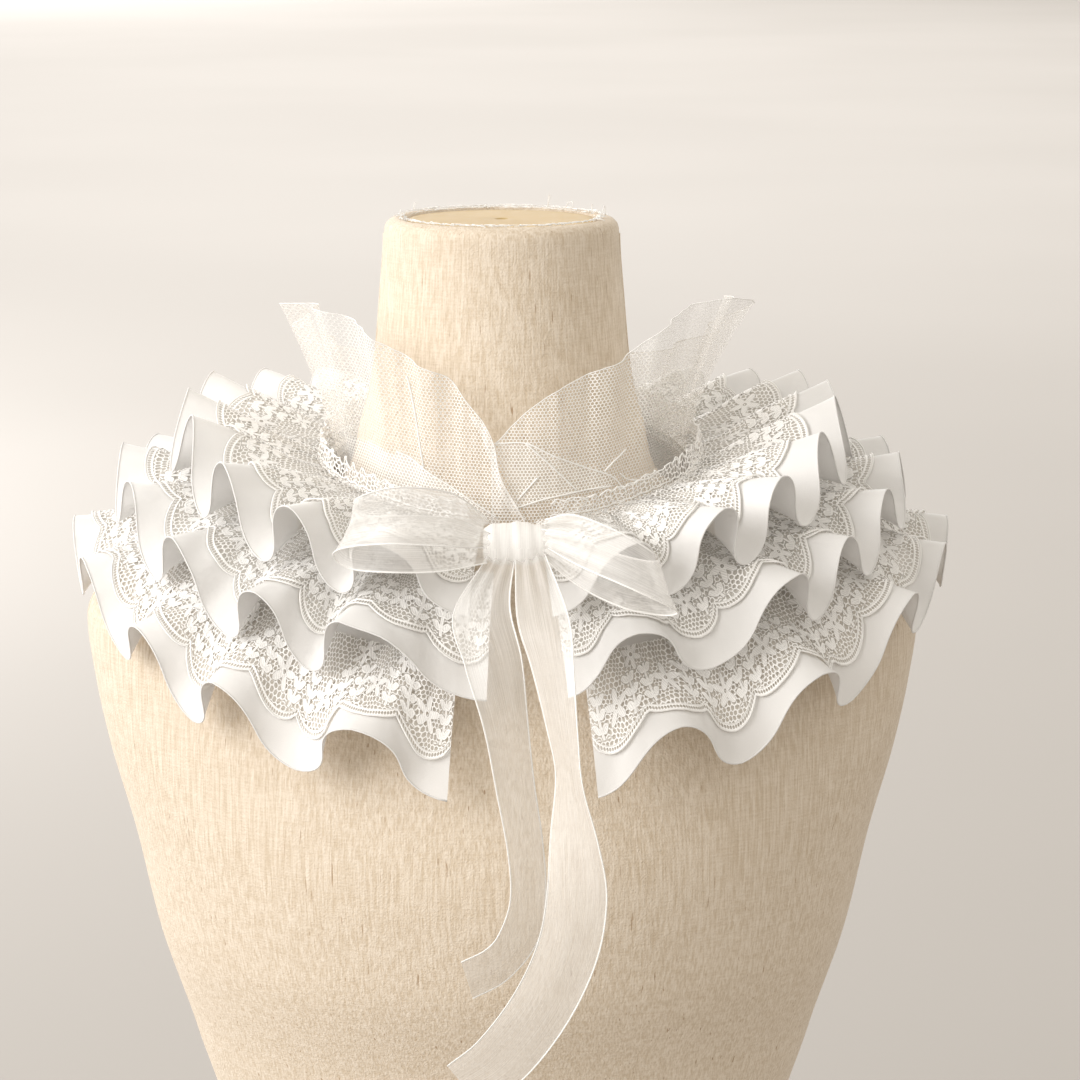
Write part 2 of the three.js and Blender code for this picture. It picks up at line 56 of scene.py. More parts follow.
COLLAR_SHIFT_X = 4
RIBBON_WIDTH = 25
HEADING_LIFT = 9.5
HEADING_HEIGHT = 9
FOLD_EASE = 1.4
FOLD_DRAW = 0.14
FOLD_ROUND = 0.7
FLATTEN_POWER = 0.6
FLATTEN_FROM = 0.05
BASE_TURNS = (13, 347)
BASE_SHARES = (0.01, 0.66)
BASE_LIFT = 0.8
HEADING_TURNS = (12, 348)
HEADING_FOOT = 0.055
HEADING_TOP = 0.035
NET_INSET = 1.4
NET_LEAN_POWER = 1.7

FORM_COLUMNS = ("z", "half_width", "front", "back")
FORM_SECTIONS = [
    (0, 157, 104, 112), (6, 161, 107, 115), (50, 165, 110, 118), (110, 158, 104, 112),
    (170, 138, 94, 98), (225, 127, 90, 88), (280, 141, 102, 90), (330, 157, 119, 96),
    (375, 167, 124, 100), (415, 178, 119, 101), (445, 184, 112, 99), (470, 187, 104, 96),
    (487, 180, 95, 93), (501, 160, 86, 89), (514, 134, 77, 85), (523, 96, 68, 78),
    (532, 73, 64.5, 73), (543, 66, 62, 66), (556, 63.5, 60.5, 61), (580, 57.5, 57, 57),
    (615, 54, 54, 54), (645, 52, 52, 52),
]

GUIDE_COLUMNS = ("turn", "neck", "neck_z", "elbow", "elbow_z", "rim", "rim_z", "puff")
GUIDE_STATIONS = [
    (0, 73, 525, 104, 501, 132, 430, 0.75),
    (22, 74, 526, 108, 503, 137, 434, 0.95),
    (48, 77, 531, 124, 515, 155, 449, 1),
    (90, 78, 537, 146, 533, 186, 493, 1),
    (132, 74, 548, 120, 539, 149, 475, 1),
    (180, 68, 556, 102, 545, 119, 468, 0.95),
]

TIERS = {
    "upper": {"head": 0.015, "hem": 0.545, "head_lift": 3, "hem_lift": 35.5},
    "middle": {"head": 0.3, "hem": 0.8, "head_lift": 3, "hem_lift": 25.5},
    "lower": {"head": 0.64, "hem": 1.08, "head_lift": 2.6, "hem_lift": 12},
}

FOLD_COLUMNS = ("turn", "swing", "curl")
FOLDS = {
    "upper": [
        (-9, 9, 70), (25, 12, 88), (40, 13, 84), (57, 13, 80), (73, 14, 84), (90, 13, 78),
        (107, 14, 82), (124, 13, 80), (139, 12, 86), (156, 13, 78), (171, 12, 84), (188, 13, 80),
        (203, 12, 84), (219, 13, 78), (233, 13, 86), (248, 14, 82), (263, 13, 78), (277, 14, 84),
        (291, 11, 84), (307, 11, 90), (321, 13, 92), (337, 11, 82), (366, 9, 70),
    ],
    "middle": [
        (-20, 7, 70), (28, 11, 80), (42, 11, 84), (59, 12, 82), (75, 11, 84), (91, 12, 80),
        (106, 11, 84), (122, 12, 78), (137, 11, 84), (153, 11, 80), (169, 12, 82), (184, 11, 84),
        (200, 11, 78), (215, 12, 84), (230, 11, 80), (245, 12, 84), (259, 11, 82), (273, 10, 84),
        (287, 10, 86), (299, 8, 80), (311, 11, 84), (338, 8, 72), (361, 7, 70),
    ],
    "lower": [
        (-4, 7, 70), (25, 10, 86), (47, 10, 80), (61, 10, 84), (76, 11, 80), (91, 11, 84),
        (106, 10, 80), (120, 10, 84), (136, 11, 78), (151, 10, 84), (167, 10, 82), (182, 11, 80),
        (198, 10, 84), (213, 11, 78), (228, 10, 84), (242, 11, 82), (256, 10, 84), (268, 11, 84),
        (280, 11, 82), (292, 11, 88), (310, 10, 84), (332, 7, 64), (358, 6, 60),
    ],
}

NET_COLUMNS = ("turn", "height", "lean", "swing")
NET_STATIONS = [
    (-5, 3, 0, 0), (-2.5, 8, 0, 0), (3.6, 23, 0, 0), (5.1, 34, 0, 0), (8.5, 43.5, 1, 0),
    (13.5, 51, 1, 1), (22, 63, 2, 2), (34, 68, 5, 3), (48, 76, 8, 3), (66, 81, 14, 5),
    (84, 77, 19, 6), (104, 56, 18, 6), (132, 34, 10, 4), (180, 25, 5, 3), (228, 34, 10, 4),
    (254, 56, 20, 6), (272, 77, 26, 6), (290, 84, 20, 5), (308, 77, 8, 3), (320, 66, 3, 2),
    (329, 64, 2, 2), (343, 58, 1, 1), (353, 50, 1, 0), (359, 43, 0, 0), (366, 35, 0, 0),
]

# Only the looks have these: folded edges in the net's front, as lines of (turn, height), and the
# parts that lie double, as outlines of (turn, height) with how much whiter each is.
NET_CREASES = [
    [(365, 35), (354.4, 35.3), (344.8, 29.1), (334.1, 22.8), (324.3, 16), (318.4, 7.5)],
    [(358, 7), (349.5, 10.3), (340.9, 12), (331.9, 12.6), (324.3, 11.7)],
    [(350.5, 20.3), (353.6, 15.8), (357.4, 10.4)],
    [(354.4, 35.3), (346.6, 25.9), (336.8, 13.3)],
    [(318.1, 25.6), (323.5, 22.4), (327, 19.1)],
    [(320.8, 16), (316.7, 11.7), (309.3, 9.5), (301.5, 10.7)],
    [(35.5, 60), (34.5, 55.7), (32.3, 41.2), (29.6, 22.3)],
    [(40, 25.5), (35.2, 24.2), (26.4, 19.2), (16.3, 12.2), (3.8, 2.9)],
]
NET_DOUBLES = [
    (0.2, [(365, 35), (354.4, 35.3), (334.1, 22.8), (322, 15), (324.3, 11.7), (340.9, 12),
           (358, 7)]),
    (0.36, [(78, 26), (35.2, 24.2), (26.4, 19.2), (16.3, 12.2), (3.8, 2.9), (4, 0), (78, 0)]),
    (0.34, [(-5, 3), (3.6, 23), (5.1, 34), (8.5, 43.5), (15, 49), (10, 40), (7.2, 30), (5.5, 21),
            (0, 6)]),
]
NET_WAVES = 19
NET_TURNS = (3, 359)
NET_CROSSING = 1.8

# Points along a ribbon's middle, as (x, y, z, turn of its width, tilt of its width, share of it).
RIBBONS = {
    "ribbon_tail_left": [
        (1, -111, 520, 16, 10, 0.5), (-7, -139, 502, 10, 6, 0.95), (-2, -155, 484, 25, 4, 1),
        (3, -164, 462, 46, 4, 1), (7, -168, 434, 54, 3, 1), (11, -169, 408, 56, 2, 1),
        (12, -169, 388, 54, -6, 1), (8, -170, 371, 48, -20, 1), (-1, -171, 360, 60, -44, 1),
        (-13, -173, 354, 68, -58, 0.9),
    ],
    "ribbon_tail_right": [
        (13, -112, 520, -14, 6, 0.5), (18, -148, 502, -22, 6, 0.9), (22, -163, 484, -46, 6, 1),
        (26, -175, 460, -60, 4, 1), (29, -181, 440, -64, 2, 1), (31, -185, 418, -40, 0, 1),
        (32, -186, 394, -14, -6, 1), (28, -186, 370, -4, -16, 1), (17, -187, 346, 0, -30, 1),
        (1, -188, 325, 6, -44, 1), (-14, -188, 314, 10, -52, 0.9),
    ],
    "bow_loop_left": [
        (-5, -123, 531, -10, 84, 0.5), (-20, -135, 539, -16, 82, 0.9), (-42, -141, 542, -24, 76, 1),
        (-58, -136, 539, -30, 68, 1), (-64, -129, 534, -30, 64, 1), (-58, -126, 528, -30, 68, 1),
        (-40, -130, 528, -22, 76, 1), (-22, -126, 527, -14, 82, 0.9), (-5, -117, 524, -8, 84, 0.5),
    ],
    "bow_loop_right": [
        (19, -119, 530, 10, -84, 0.5), (32, -134, 530, 14, -80, 0.9), (50, -146, 525, 20, -76, 1),
        (64, -147, 518, 26, -72, 1), (70, -142, 513, 28, -70, 1), (64, -137, 511, 24, -72, 1),
        (49, -135, 514, 18, -76, 1), (32, -125, 520, 12, -80, 0.9), (19, -113, 525, 8, -84, 0.5),
    ],
}

KNOT = {"x": 7, "y": -108, "z": 524, "half_width": 10.5, "half_depth": 9, "half_height": 9}
# The wrap is this much wider than the part's knot, to each side.
KNOT_LIP = 3.2

# ---- Detail that only the looks have (mm)
#
# Each row of WAVES is for ripples(): how many, the shortest and the longest.

# The form: its fineness, the welts of its seams, and the turned-in top edge of its linen.
FORM_SIDES = 160
FORM_HEIGHTS = np.concatenate([[0, 1.5, 4], np.linspace(8, 500, 110), np.linspace(503, 643, 60)])
FORM_RIM_RADII = np.array([51.9, 51.2, 49.6, 47.6, 45.6, 44, 43, 42.5, 42.4])
FORM_RIM_HEIGHTS = np.array([645.5, 647.6, 649.2, 650, 650.1, 649.6, 648.6, 647, 644.6])
RIM_WOBBLE = 0.35
RIM_WOBBLE_WAVES = (6, 9, 40)
SEAM_TURNS = (90, 180, 270)
SEAM_RADIUS = 0.55
SEAM_HEIGHTS = (2, 643, 170)

# Frayed threads at the top of the linen, of which every so many stands up.
FRAY_COUNT = 420
FRAY_STANDING = 70
FRAY_RADIUS = 0.15
FRAY_TOP = 649.9
FRAY_EDGE_TOP = 650.6

# The neck's disc, from its dimple out to its rim: (radius, how far below its top).
DISC_SIDES = 120
DISC_PROFILE = [
    (0.02, -1.5), (1.2, -1.4), (2.4, -0.8), (3, -0.15), (3.6, 0), (12, 0.1), (26, 0.1), (38, 0),
    (41, -0.15), (41.7, -0.5), (42, -1.1),
]

# The tiers: fineness, hem and lace edge, and their small creases.
STEPS_PER_FOLD = 36
CLOTH_ROWS = 40
HEM_WAYS = (0.925, 0.93, 0.96, 0.99, 1.0)
LACE_ROWS = 34
LACE_EDGE_ROWS = 10
LACE_FIELD_TO, LACE_EDGE_FROM = 0.86, 0.875
LACE_OUT = 1.1
LACE_WAY = 0.8
LACE_SHADE_WIDTH = 1.5
SCALLOP_PITCH = 34
SCALLOP_DEPTH = 6.5
SCALLOP_ROUND = 0.7
HEM_ROLL_RADIUS = 0.38
LACE_CORD_RADIUS = 0.4
LACE_INNER_CORD = 3.3
LACE_INNER_CORD_RADIUS = 0.22
GATHER_HEIGHT = 0.9
GATHER_WAVES = (7, 5, 11)
CREASE_HEIGHT = 0.9
CREASE_WAVES = (6, 18, 60)
WRINKLE_HEIGHT = 0.2
WRINKLE_WAVES = (8, 6, 15)
BASE_STEPS = 240
BASE_ROWS = 14

# The heading: its pinched waves, how much it differs from the part, and its cords as (row, radius).
HEADING_STEPS = 1100
HEADING_ROWS = 9
HEADING_WAVES = 72
HEADING_SWING = 0.0045
HEADING_SINK = 1.5
HEADING_RAISE = 1.6
HEADING_EVEN, HEADING_UNEVEN = 0.94, 0.16
HEADING_UNEVEN_WAVES = (8, 3, 14)
HEADING_PATTERN_FOOT = 41
HEADING_CORDS = [(0, 0.28), (6, 0.3)]

# The net: fineness, its veil and threads where it flares out and is seen aslant, and its cords.
NET_STEPS = 900
NET_ROWS = 48
NET_FULL_FLARE = 14
NET_VEIL = 0.01
NET_FOOT_VEIL, NET_TOP_VEIL = 0.15, 0.1
NET_FLARE_THREADS = 0.8
NET_FADE_TO, NET_FADE_OVER = 78, 40
NET_UNEVEN = 0.8
NET_UNEVEN_WAVES = (5, 30, 90)
NET_SOFT = 0.5
NET_SOFT_WAVES = (6, 5, 16)
NET_RUMPLED = 1.3
NET_RUMPLED_WAVES = (6, 4, 11)
NET_RUMPLED_LEAN = 20
NET_HEM_RADIUS = 0.22
NET_END_RADIUS = 0.38
NET_CREASE_RADIUS = 0.36
NET_CREASE_OUT = 0.35

# The ribbon: fineness, its pleats near the knot, its soft waves and its crowned middle.
RIBBON_STEPS = 150
RIBBON_ROWS = 25
RIBBON_PINCH_LENGTH = 22
RIBBON_PLEAT = 1.3
RIBBON_PLEATS = 9
RIBBON_SOFT = 0.4
RIBBON_SOFT_WAVES = (5, 11, 34)
LOOP_CROWN = 1.2
TAIL_CROWN = 0.6
RIBBON_EDGE_RADIUS = 0.3
KNOT_STEPS = 90
KNOT_ROWS = 33

# The lace's pattern (mm). It repeats along the lace with each scallop and up the lace at this
# height, and is the same on both sides of the middle of a scallop: a flower over the middle, a
# spray of leaves on a bent stem to each side, and a flower between two scallops.
PATTERN_HEIGHT = 42
# Flowers as (across, up, petals, radius).
FLOWERS = [(0, 17.5, 5, 7.6), (17, 33.5, 6, 7)]
FLOWER_EYE = 1.3
SPRAY = {"foot": 8, "top": 26.5, "across": 10.5, "lean": 1.6, "bend": 0.5, "apart": 6.2}
LEAF = {"length": 4.6, "half_width": 1.25, "slant": 0.5}
STEM_HALF_WIDTH = 0.4

# The lace's edge, and the widths of a cell of each net.
EYELET_HALF_PITCH = 1.5
EYELETS_FROM_EDGE = 1.75
LACE_BAND = (3.2, 3.6)
LACE_CELL = 2.5
NET_CELL = 1.55


# ---- Colours

LINEN_DARK, LINEN_LIGHT = (0.61, 0.50, 0.37, 1), (0.80, 0.705, 0.59, 1)
LINEN_FLECK = (0.33, 0.20, 0.10, 1)
BOARD_DARK, BOARD_LIGHT = (0.47, 0.325, 0.13, 1), (0.54, 0.39, 0.18, 1)
CLOTH_DARK, CLOTH_LIGHT = (0.79, 0.78, 0.77, 1), (0.85, 0.84, 0.83, 1)
# The cloth's colours where the lace lies over it: painted shade, darker and a little warmer.
UNDER_LACE_SHADE_DARK, UNDER_LACE_SHADE_LIGHT = (0.71, 0.675, 0.625, 1), (0.79, 0.76, 0.71, 1)
CORD_DARK, CORD_LIGHT = (0.8835, 0.8742, 0.8556, 1), (0.95, 0.94, 0.92, 1)
LACE_DARK, LACE_LIGHT = (0.94, 0.925, 0.90, 1), (0.98, 0.97, 0.955, 1)
NET_DARK, NET_LIGHT = (0.90, 0.885, 0.865, 1), (0.96, 0.945, 0.92, 1)
RIBBON_DARK, RIBBON_LIGHT = (0.93, 0.915, 0.89, 1), (0.97, 0.96, 0.945, 1)
FLOOR_DARK, FLOOR_LIGHT = (0.41, 0.386, 0.361, 1), (0.43, 0.406, 0.381, 1)


# ---- Reading the tables


def column(rows, names, wanted):
    """One column of a table, by its name."""
    return np.array([row[names.index(wanted)] for row in rows], float)


def smooth(keys, values, at):
    """Values at `at` on a smooth curve that doesn't overshoot its rows."""
    between = np.diff(values) / np.diff(keys)
    slopes = np.zeros(len(keys))
    before, after = between[:-1], between[1:]
    same = before * after > 0
    slopes[1:-1][same] = (2 * before * after)[same] / (before + after)[same]
    at = np.clip(at, keys[0], keys[-1])
    i = np.clip(np.searchsorted(keys, at, side="left") - 1, 0, len(keys) - 2)
    step = keys[i + 1] - keys[i]
    t = (at - keys[i]) / step
    return (
        (2 * t**3 - 3 * t**2 + 1) * values[i]
        + (t**3 - 2 * t**2 + t) * step * slopes[i]
        + (3 * t**2 - 2 * t**3) * values[i + 1]
        + (t**3 - t**2) * step * slopes[i + 1]
    )


def curve(rows, names, wanted, at):
    """One column of a table on a smooth curve over its first column."""
    return smooth(column(rows, names, names[0]), column(rows, names, wanted), at)


def guide_row(name, turn):
    """A measure of the guide at a turn. Both sides of the guide are alike."""
    around = np.mod(turn, 360)
    return curve(GUIDE_STATIONS, GUIDE_COLUMNS, name, np.minimum(around, 360 - around))


def net_row(name, turn):
    """A measure of the net at a turn."""
    return curve(NET_STATIONS, NET_COLUMNS, name, turn)


def heading_way(turn):
    """The x and y of the way that a turn looks."""
    angle = np.radians(turn)
    return -np.sin(angle), -np.cos(angle)


def round_axis(turn, reach, up):
    """Points round the form's axis, at a turn, a reach from the axis and a height."""
    way_x, way_y = heading_way(turn)
    return np.stack(np.broadcast_arrays(way_x * reach, way_y * reach, up), axis=-1)


def on_guide(turn, s, lift):
    """Points that stand `lift` off the guide, at a turn and a share s of the way to its rim."""
    turn, s, lift = np.broadcast_arrays(*(np.asarray(x, float) for x in (turn, s, lift)))
    neck, elbow, rim = (guide_row(name, turn) for name in ("neck", "elbow", "rim"))
    neck_z, elbow_z, rim_z = (guide_row(name, turn) for name in ("neck_z", "elbow_z", "rim_z"))

    def bend(a, b, c):
        return (1 - s) ** 2 * a + 2 * s * (1 - s) * b + s**2 * c

    def run(a, b, c):
        return (1 - s) * (b - a) + s * (c - b)

    outward, down = run(neck, elbow, rim), run(neck_z, elbow_z, rim_z)
    length = np.hypot(outward, down)
    reach = bend(neck, elbow, rim) - lift * down / length
    z = bend(neck_z, elbow_z, rim_z) + lift * outward / length
    way_x, way_y = heading_way(turn)
    return np.stack([COLLAR_SHIFT_X + way_x * reach, way_y * reach, z], axis=-1)


def fold_shape(curl, share):
    """How far along a fold and how high the cloth is at a share of its length, as in the part."""
    steps = 48
    total_along, total_height, along, height = (np.zeros(curl.shape) for _ in range(4))
    lowest = np.zeros(curl.shape)
    for i in range(steps):
        swing = math.sin(2 * math.pi * (i + 0.5) / steps)
        direction = -curl * math.copysign(abs(swing) ** FOLD_ROUND, swing)
        part = np.clip(share * steps - i, 0, 1)
        along += part * np.cos(direction)
        height += part * np.sin(direction)
        total_along += np.cos(direction)
        total_height += np.sin(direction)
        lowest = np.minimum(lowest, total_height)
    return along / total_along, 1 - 2 * height / lowest


def ripples(u, v, seed, waves, finest, coarsest):
    """Soft, uneven creases from about -1 to 1: a seeded sum of plane waves of these lengths."""
    chance = np.random.default_rng(seed)
    total = np.zeros(np.broadcast(u, v).shape)
    for _ in range(waves):
        length = chance.uniform(finest, coarsest)
        angle = chance.uniform(-0.6, 0.6)
        phase = chance.uniform(0, 2 * math.pi)
        total += np.sin(2 * math.pi * (u * math.cos(angle) + v * math.sin(angle)) / length + phase)
    return total / math.sqrt(waves) / 1.4


# ---- Grids and meshes


def normals(grid):
    """The way out of a grid's front at each of its points."""
    along = np.empty_like(grid)
    along[1:-1] = grid[2:] - grid[:-2]
    along[0], along[-1] = grid[1] - grid[0], grid[-1] - grid[-2]
    across = np.empty_like(grid)
    across[:, 1:-1] = grid[:, 2:] - grid[:, :-2]
    across[:, 0], across[:, -1] = grid[:, 1] - grid[:, 0], grid[:, -1] - grid[:, -2]
    normal = np.cross(along, across)
    return normal / np.maximum(np.linalg.norm(normal, axis=-1, keepdims=True), 1e-9)


def length_along(points, axis):
    """The distance from the start of each line of a grid, in mm."""
    steps = np.linalg.norm(np.diff(points, axis=axis), axis=-1)
    start = np.zeros_like(np.take(steps, [0], axis=axis))
    return np.concatenate([start, np.cumsum(steps, axis=axis)], axis=axis)


def flat_places(grid, edge=-1):
    """Where a grid's points lie flat, in mm: along one of its edges, and across on average."""
    return length_along(grid, 0)[:, [edge]], length_along(grid, 1).mean(axis=0)[None, :]


def placed(name, data):
    """An object of this mesh, light or lens, put in the scene."""
    thing = bpy.data.objects.new(name, data)
    bpy.context.scene.collection.objects.link(thing)
    return thing


def shown(name, mesh, material, replaces=()):
    """A piece of the looks, which rides the one body and may replace nodes of the part."""
    piece = placed(name, mesh)
    mesh.materials.append(material)
    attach(piece, "root")
    if replaces:
        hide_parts(*replaces)
    return piece


def corded(name, lines, material=None, sides=5):
    """A piece of round cords, white ones unless a material is named."""
    return shown(name, tube_mesh(name, lines, sides), material or CORD)


def grid_mesh(name, grid, u=None, v=None, closed=False, fields=None):
    """A smooth sheet through a grid of points in mm, with a UV map in mm and point fields."""
    rows, columns = grid.shape[:2]
    starts = np.arange(rows if closed else rows - 1)
    i, j = np.meshgrid(starts, np.arange(columns - 1), indexing="ij")
    near, far = i * columns + j, (i + 1) % rows * columns + j
    faces = np.stack([near, far, far + 1, near + 1], axis=-1).reshape(-1, 4)
    mesh = bpy.data.meshes.new(name)
    mesh.from_pydata((grid.reshape(-1, 3) * MM).tolist(), [], faces.tolist())
    mesh.polygons.foreach_set("use_smooth", np.ones(len(faces), bool))
    if u is not None:
        flat = np.stack(np.broadcast_arrays(u, v), axis=-1).reshape(-1, 2)
        layer = mesh.uv_layers.new(name="UVMap")
        layer.data.foreach_set("uv", flat[faces.reshape(-1)].astype(np.float32).reshape(-1))
    for field, values in (fields or {}).items():
        attribute = mesh.attributes.new(field, "FLOAT", "POINT")
        spread = np.broadcast_to(values, (rows, columns)).astype(np.float32)
        attribute.data.foreach_set("value", spread.reshape(-1))
    mesh.update()
    return mesh


def tube_mesh(name, lines, sides):
    """Round cords along lines of (points in mm, radius in mm)."""
    vertices, faces = [], []
    for points, radius in lines:
        points = np.asarray(points, float)
        tangent = np.gradient(points, axis=0)
        tangent /= np.maximum(np.linalg.norm(tangent, axis=1, keepdims=True), 1e-9)
        side = np.cross(tangent[0], (0.3, 0.5, 0.8))
        start = len(vertices)
        for k, (point, way) in enumerate(zip(points, tangent)):
            side = side - way * np.dot(side, way)
            side /= max(np.linalg.norm(side), 1e-9)
            other = np.cross(way, side)
            for corner in range(sides):
                angle = 2 * math.pi * corner / sides
                vertices.append(point + radius * (math.cos(angle) * side + math.sin(angle) * other))
            if k:
                ring = start + (k - 1) * sides
                for corner in range(sides):
                    after = (corner + 1) % sides
                    near, far = ring + corner, ring + after
                    faces.append((near, far, far + sides, near + sides))
        faces.append(tuple(range(start + sides - 1, start - 1, -1)))
        faces.append(tuple(range(len(vertices) - sides, len(vertices))))
    mesh = bpy.data.meshes.new(name)
    mesh.from_pydata((np.array(vertices) * MM).tolist(), [], faces)
    mesh.polygons.foreach_set("use_smooth", [len(face) == 4 for face in faces])
    mesh.update()
    return mesh


# ---- Materials


class Nodes:
    """One material's nodes, made by short calls."""

    def __init__(self, name):
        self.material = bpy.data.materials.new(name)
        self.material.use_nodes = True
        self.tree = self.material.node_tree
        self.shader = self.tree.nodes["Principled BSDF"]

    def add(self, kind, inputs=(), **settings):
        made = self.tree.nodes.new("ShaderNode" + kind)
        for key, value in settings.items():
            setattr(made, key, value)
        for key, value in dict(inputs).items():
            self.put(made.inputs[key], value)
        return made

    def put(self, socket, value):
        if isinstance(value, bpy.types.NodeSocket):
            self.tree.links.new(value, socket)
        else:
            socket.default_value = value

    def math(self, operation, *values, clamp=False):
        inputs = dict(enumerate(values))
        return self.add("Math", inputs, operation=operation, use_clamp=clamp).outputs[0]

    def chain(self, operation, values):
        """One operation over a row of values, such as their sum or the least of them."""
        total = values[0]
        for value in values[1:]:
            total = self.math(operation, total, value)
        return total

    def total(self, *values):
        return self.chain("ADD", values)

    def times(self, *values):
        return self.chain("MULTIPLY", values)

    def blend(self, *shares):
        """The sum of values, each times its weight."""
        return self.total(*(self.times(value, weight) for value, weight in shares))

    def most(self, *values):
        return self.chain("MAXIMUM", values)

    def least(self, *values):
        return self.chain("MINIMUM", values)

    def less(self, value, taken):
        return self.math("SUBTRACT", value, taken)

    def vector(self, operation, *values, result="Vector"):
        inputs = dict(enumerate(values))
        return self.add("VectorMath", inputs, operation=operation).outputs[result]

    def fade(self, value, low, high, start=0.0, end=1.0):
        """A soft step from start at low to end at high."""
        inputs = {"Value": value, 1: low, 2: high, 3: start, 4: end}
        return self.add("MapRange", inputs, interpolation_type="SMOOTHSTEP").outputs[0]

    def mixed(self, share, first, second):
        return self.add("Mix", {0: share, 6: first, 7: second}, data_type="RGBA").outputs[2]

    def noise(self, coordinates, scale, detail=2.0, stretch=(1, 1, 1)):
        stretched = self.vector("MULTIPLY", coordinates, stretch)
        inputs = {"Vector": stretched, "Scale": scale, "Detail": detail}
        return self.add("TexNoise", inputs).outputs[0]

    def set(self, **values):
        for key, value in values.items():
            self.put(self.shader.inputs[key.replace("_", " ")], value)

    def bump(self, height, distance, strength=1.0):
        made = self.add("Bump", {"Height": height, "Distance": distance, "Strength": strength})
        self.put(self.shader.inputs["Normal"], made.outputs[0])

    def hexagons(self, coordinates, across):
        """The distance from the nearest side of a honeycomb of cells that are `across` wide, as a
        share of a cell: 0 on its sides and 0.5 in its middle."""
        pitch = (1.0, math.sqrt(3), 1.0)
        half = tuple(x / 2 for x in pitch)
        scaled = self.vector("SCALE", coordinates)
        self.put(scaled.node.inputs["Scale"], 1 / across)
        flat = self.vector("MULTIPLY", scaled, (1, 1, 0))
        cells = []
        for offset in ((0, 0, 0), half):
            moved = self.vector("ADD", flat, offset)
            part = self.vector("FRACTION", self.vector("DIVIDE", moved, pitch))
            local = self.vector("MULTIPLY", self.vector("SUBTRACT", part, (0.5, 0.5, 0)), pitch)
            cells.append(self.vector("MULTIPLY", local, (1, 1, 0)))
        first, second = cells
        lengths = (self.vector("LENGTH", cell, result="Value") for cell in cells)
        nearer = self.math("LESS_THAN", *lengths)
        chosen = self.add("Mix", {0: nearer, 4: second, 5: first}, data_type="VECTOR").outputs[1]
        size = self.vector("ABSOLUTE", chosen)
        slanted = self.vector("DOT_PRODUCT", size, (0.5, math.sqrt(3) / 2, 0), result="Value")
        straight = self.vector("DOT_PRODUCT", size, (1, 0, 0), result="Value")
        return self.math("SUBTRACT", 0.5, self.math("MAXIMUM", slanted, straight))

    def field(self, name):
        return self.add("Attribute", attribute_name=name).outputs["Fac"]

    def uv(self):
        return self.add("UVMap", uv_map="UVMap").outputs[0]

    def here(self):
        return self.add("TexCoord").outputs["Object"]


def linen_material():
    """Natural linen: upright slubs and flecks, level threads, and a weave at thread size."""
    n = Nodes("natural_linen")
    place = n.here()
    slubs = n.noise(place, 100, 3, (9, 9, 0.3))
    threads = n.noise(place, 100, 2, (1, 1, 13))
    fine = n.noise(place, 100, 1, (14, 14, 0.8))
    patches = n.noise(place, 9, 3)
    weave = n.noise(place, 1100, 1)
    mixture = n.blend(
        (slubs, 0.34), (threads, 0.15), (fine, 0.33), (patches, 0.06), (weave, 0.12)
    )
    plain = n.mixed(n.fade(mixture, 0.36, 0.64), LINEN_DARK, LINEN_LIGHT)
    flecks = n.fade(n.noise(place, 75, 1, (11, 11, 0.5)), 0.725, 0.78)
    n.set(Base_Color=n.mixed(n.times(flecks, 0.75), plain, LINEN_FLECK))
    n.set(Roughness=n.fade(slubs, 0.3, 0.7, 0.78, 0.92), Sheen_Weight=0.12, Sheen_Roughness=0.5)
    n.bump(n.total(mixture, weave), 0.0005, 0.6)
    return n.material


def disc_material():
    """The neck's disc: smooth pale board with a fine fibre."""
    n = Nodes("neck_board")
    place = n.here()
    fibre = n.noise(place, 240, 4, (1, 4, 1))
    cloud = n.noise(place, 26, 3)
    share = n.blend((fibre, 0.5), (cloud, 0.5))
    n.set(Base_Color=n.mixed(n.fade(share, 0.35, 0.65), BOARD_DARK, BOARD_LIGHT))
    n.set(Roughness=n.fade(fibre, 0.3, 0.7, 0.5, 0.7))
    n.bump(share, 0.0003, 0.5)
    return n.material


def cloth_material():
    """Fine white cloth with a soft, close weave, and painted shade where lace lies over it."""
    n = Nodes("fine_white_cloth")
    place = n.uv()
    weave = n.noise(place, 2.6, 1)
    cloud = n.noise(place, 0.03, 3)
    share = n.blend((weave, 0.3), (cloud, 0.7))
    open_cloth = n.mixed(n.fade(share, 0.35, 0.65), CLOTH_DARK, CLOTH_LIGHT)
    shaded_under_lace = n.mixed(n.fade(share, 0.35, 0.65), UNDER_LACE_SHADE_DARK, UNDER_LACE_SHADE_LIGHT)
    under_lace = n.field("under_lace")
    # Painted shade: a darker, warmer colour where the lace lies over the cloth.
    n.set(Base_Color=n.mixed(under_lace, open_cloth, shaded_under_lace))
    n.set(Roughness=n.fade(cloud, 0.3, 0.7, 0.62, 0.74), Sheen_Weight=0.2, Sheen_Roughness=0.4)
    n.set(Alpha=n.less(0.93, n.times(under_lace, 0.12)))
    n.bump(share, 0.0002, 0.4)
    return n.material


def thread_material():
    """White cord or thread, twisted."""
    n = Nodes("white_cord")
    twist = n.noise(n.here(), 1400, 1)
    n.set(Base_Color=n.mixed(n.fade(twist, 0.3, 0.7), CORD_DARK, CORD_LIGHT))
    n.set(Roughness=n.fade(twist, 0.3, 0.7, 0.5, 0.7), Sheen_Weight=0.2)
    n.bump(twist, 0.0002, 0.6)
    return n.material


def flower_distance(n, x, y, petals, radius):
    """How far a place lies outside a flower with its middle at 0, less than 0 inside it."""
    reach = n.math("SQRT", n.total(n.times(x, x), n.times(y, y)))
    angle = n.math("ARCTAN2", x, y)
    lobe = n.math("COSINE", n.times(angle, petals / 2))
    outside = n.less(reach, n.total(n.times(lobe, lobe, 0.68 * radius), 0.32 * radius))
    return n.most(outside, n.less(FLOWER_EYE, reach))


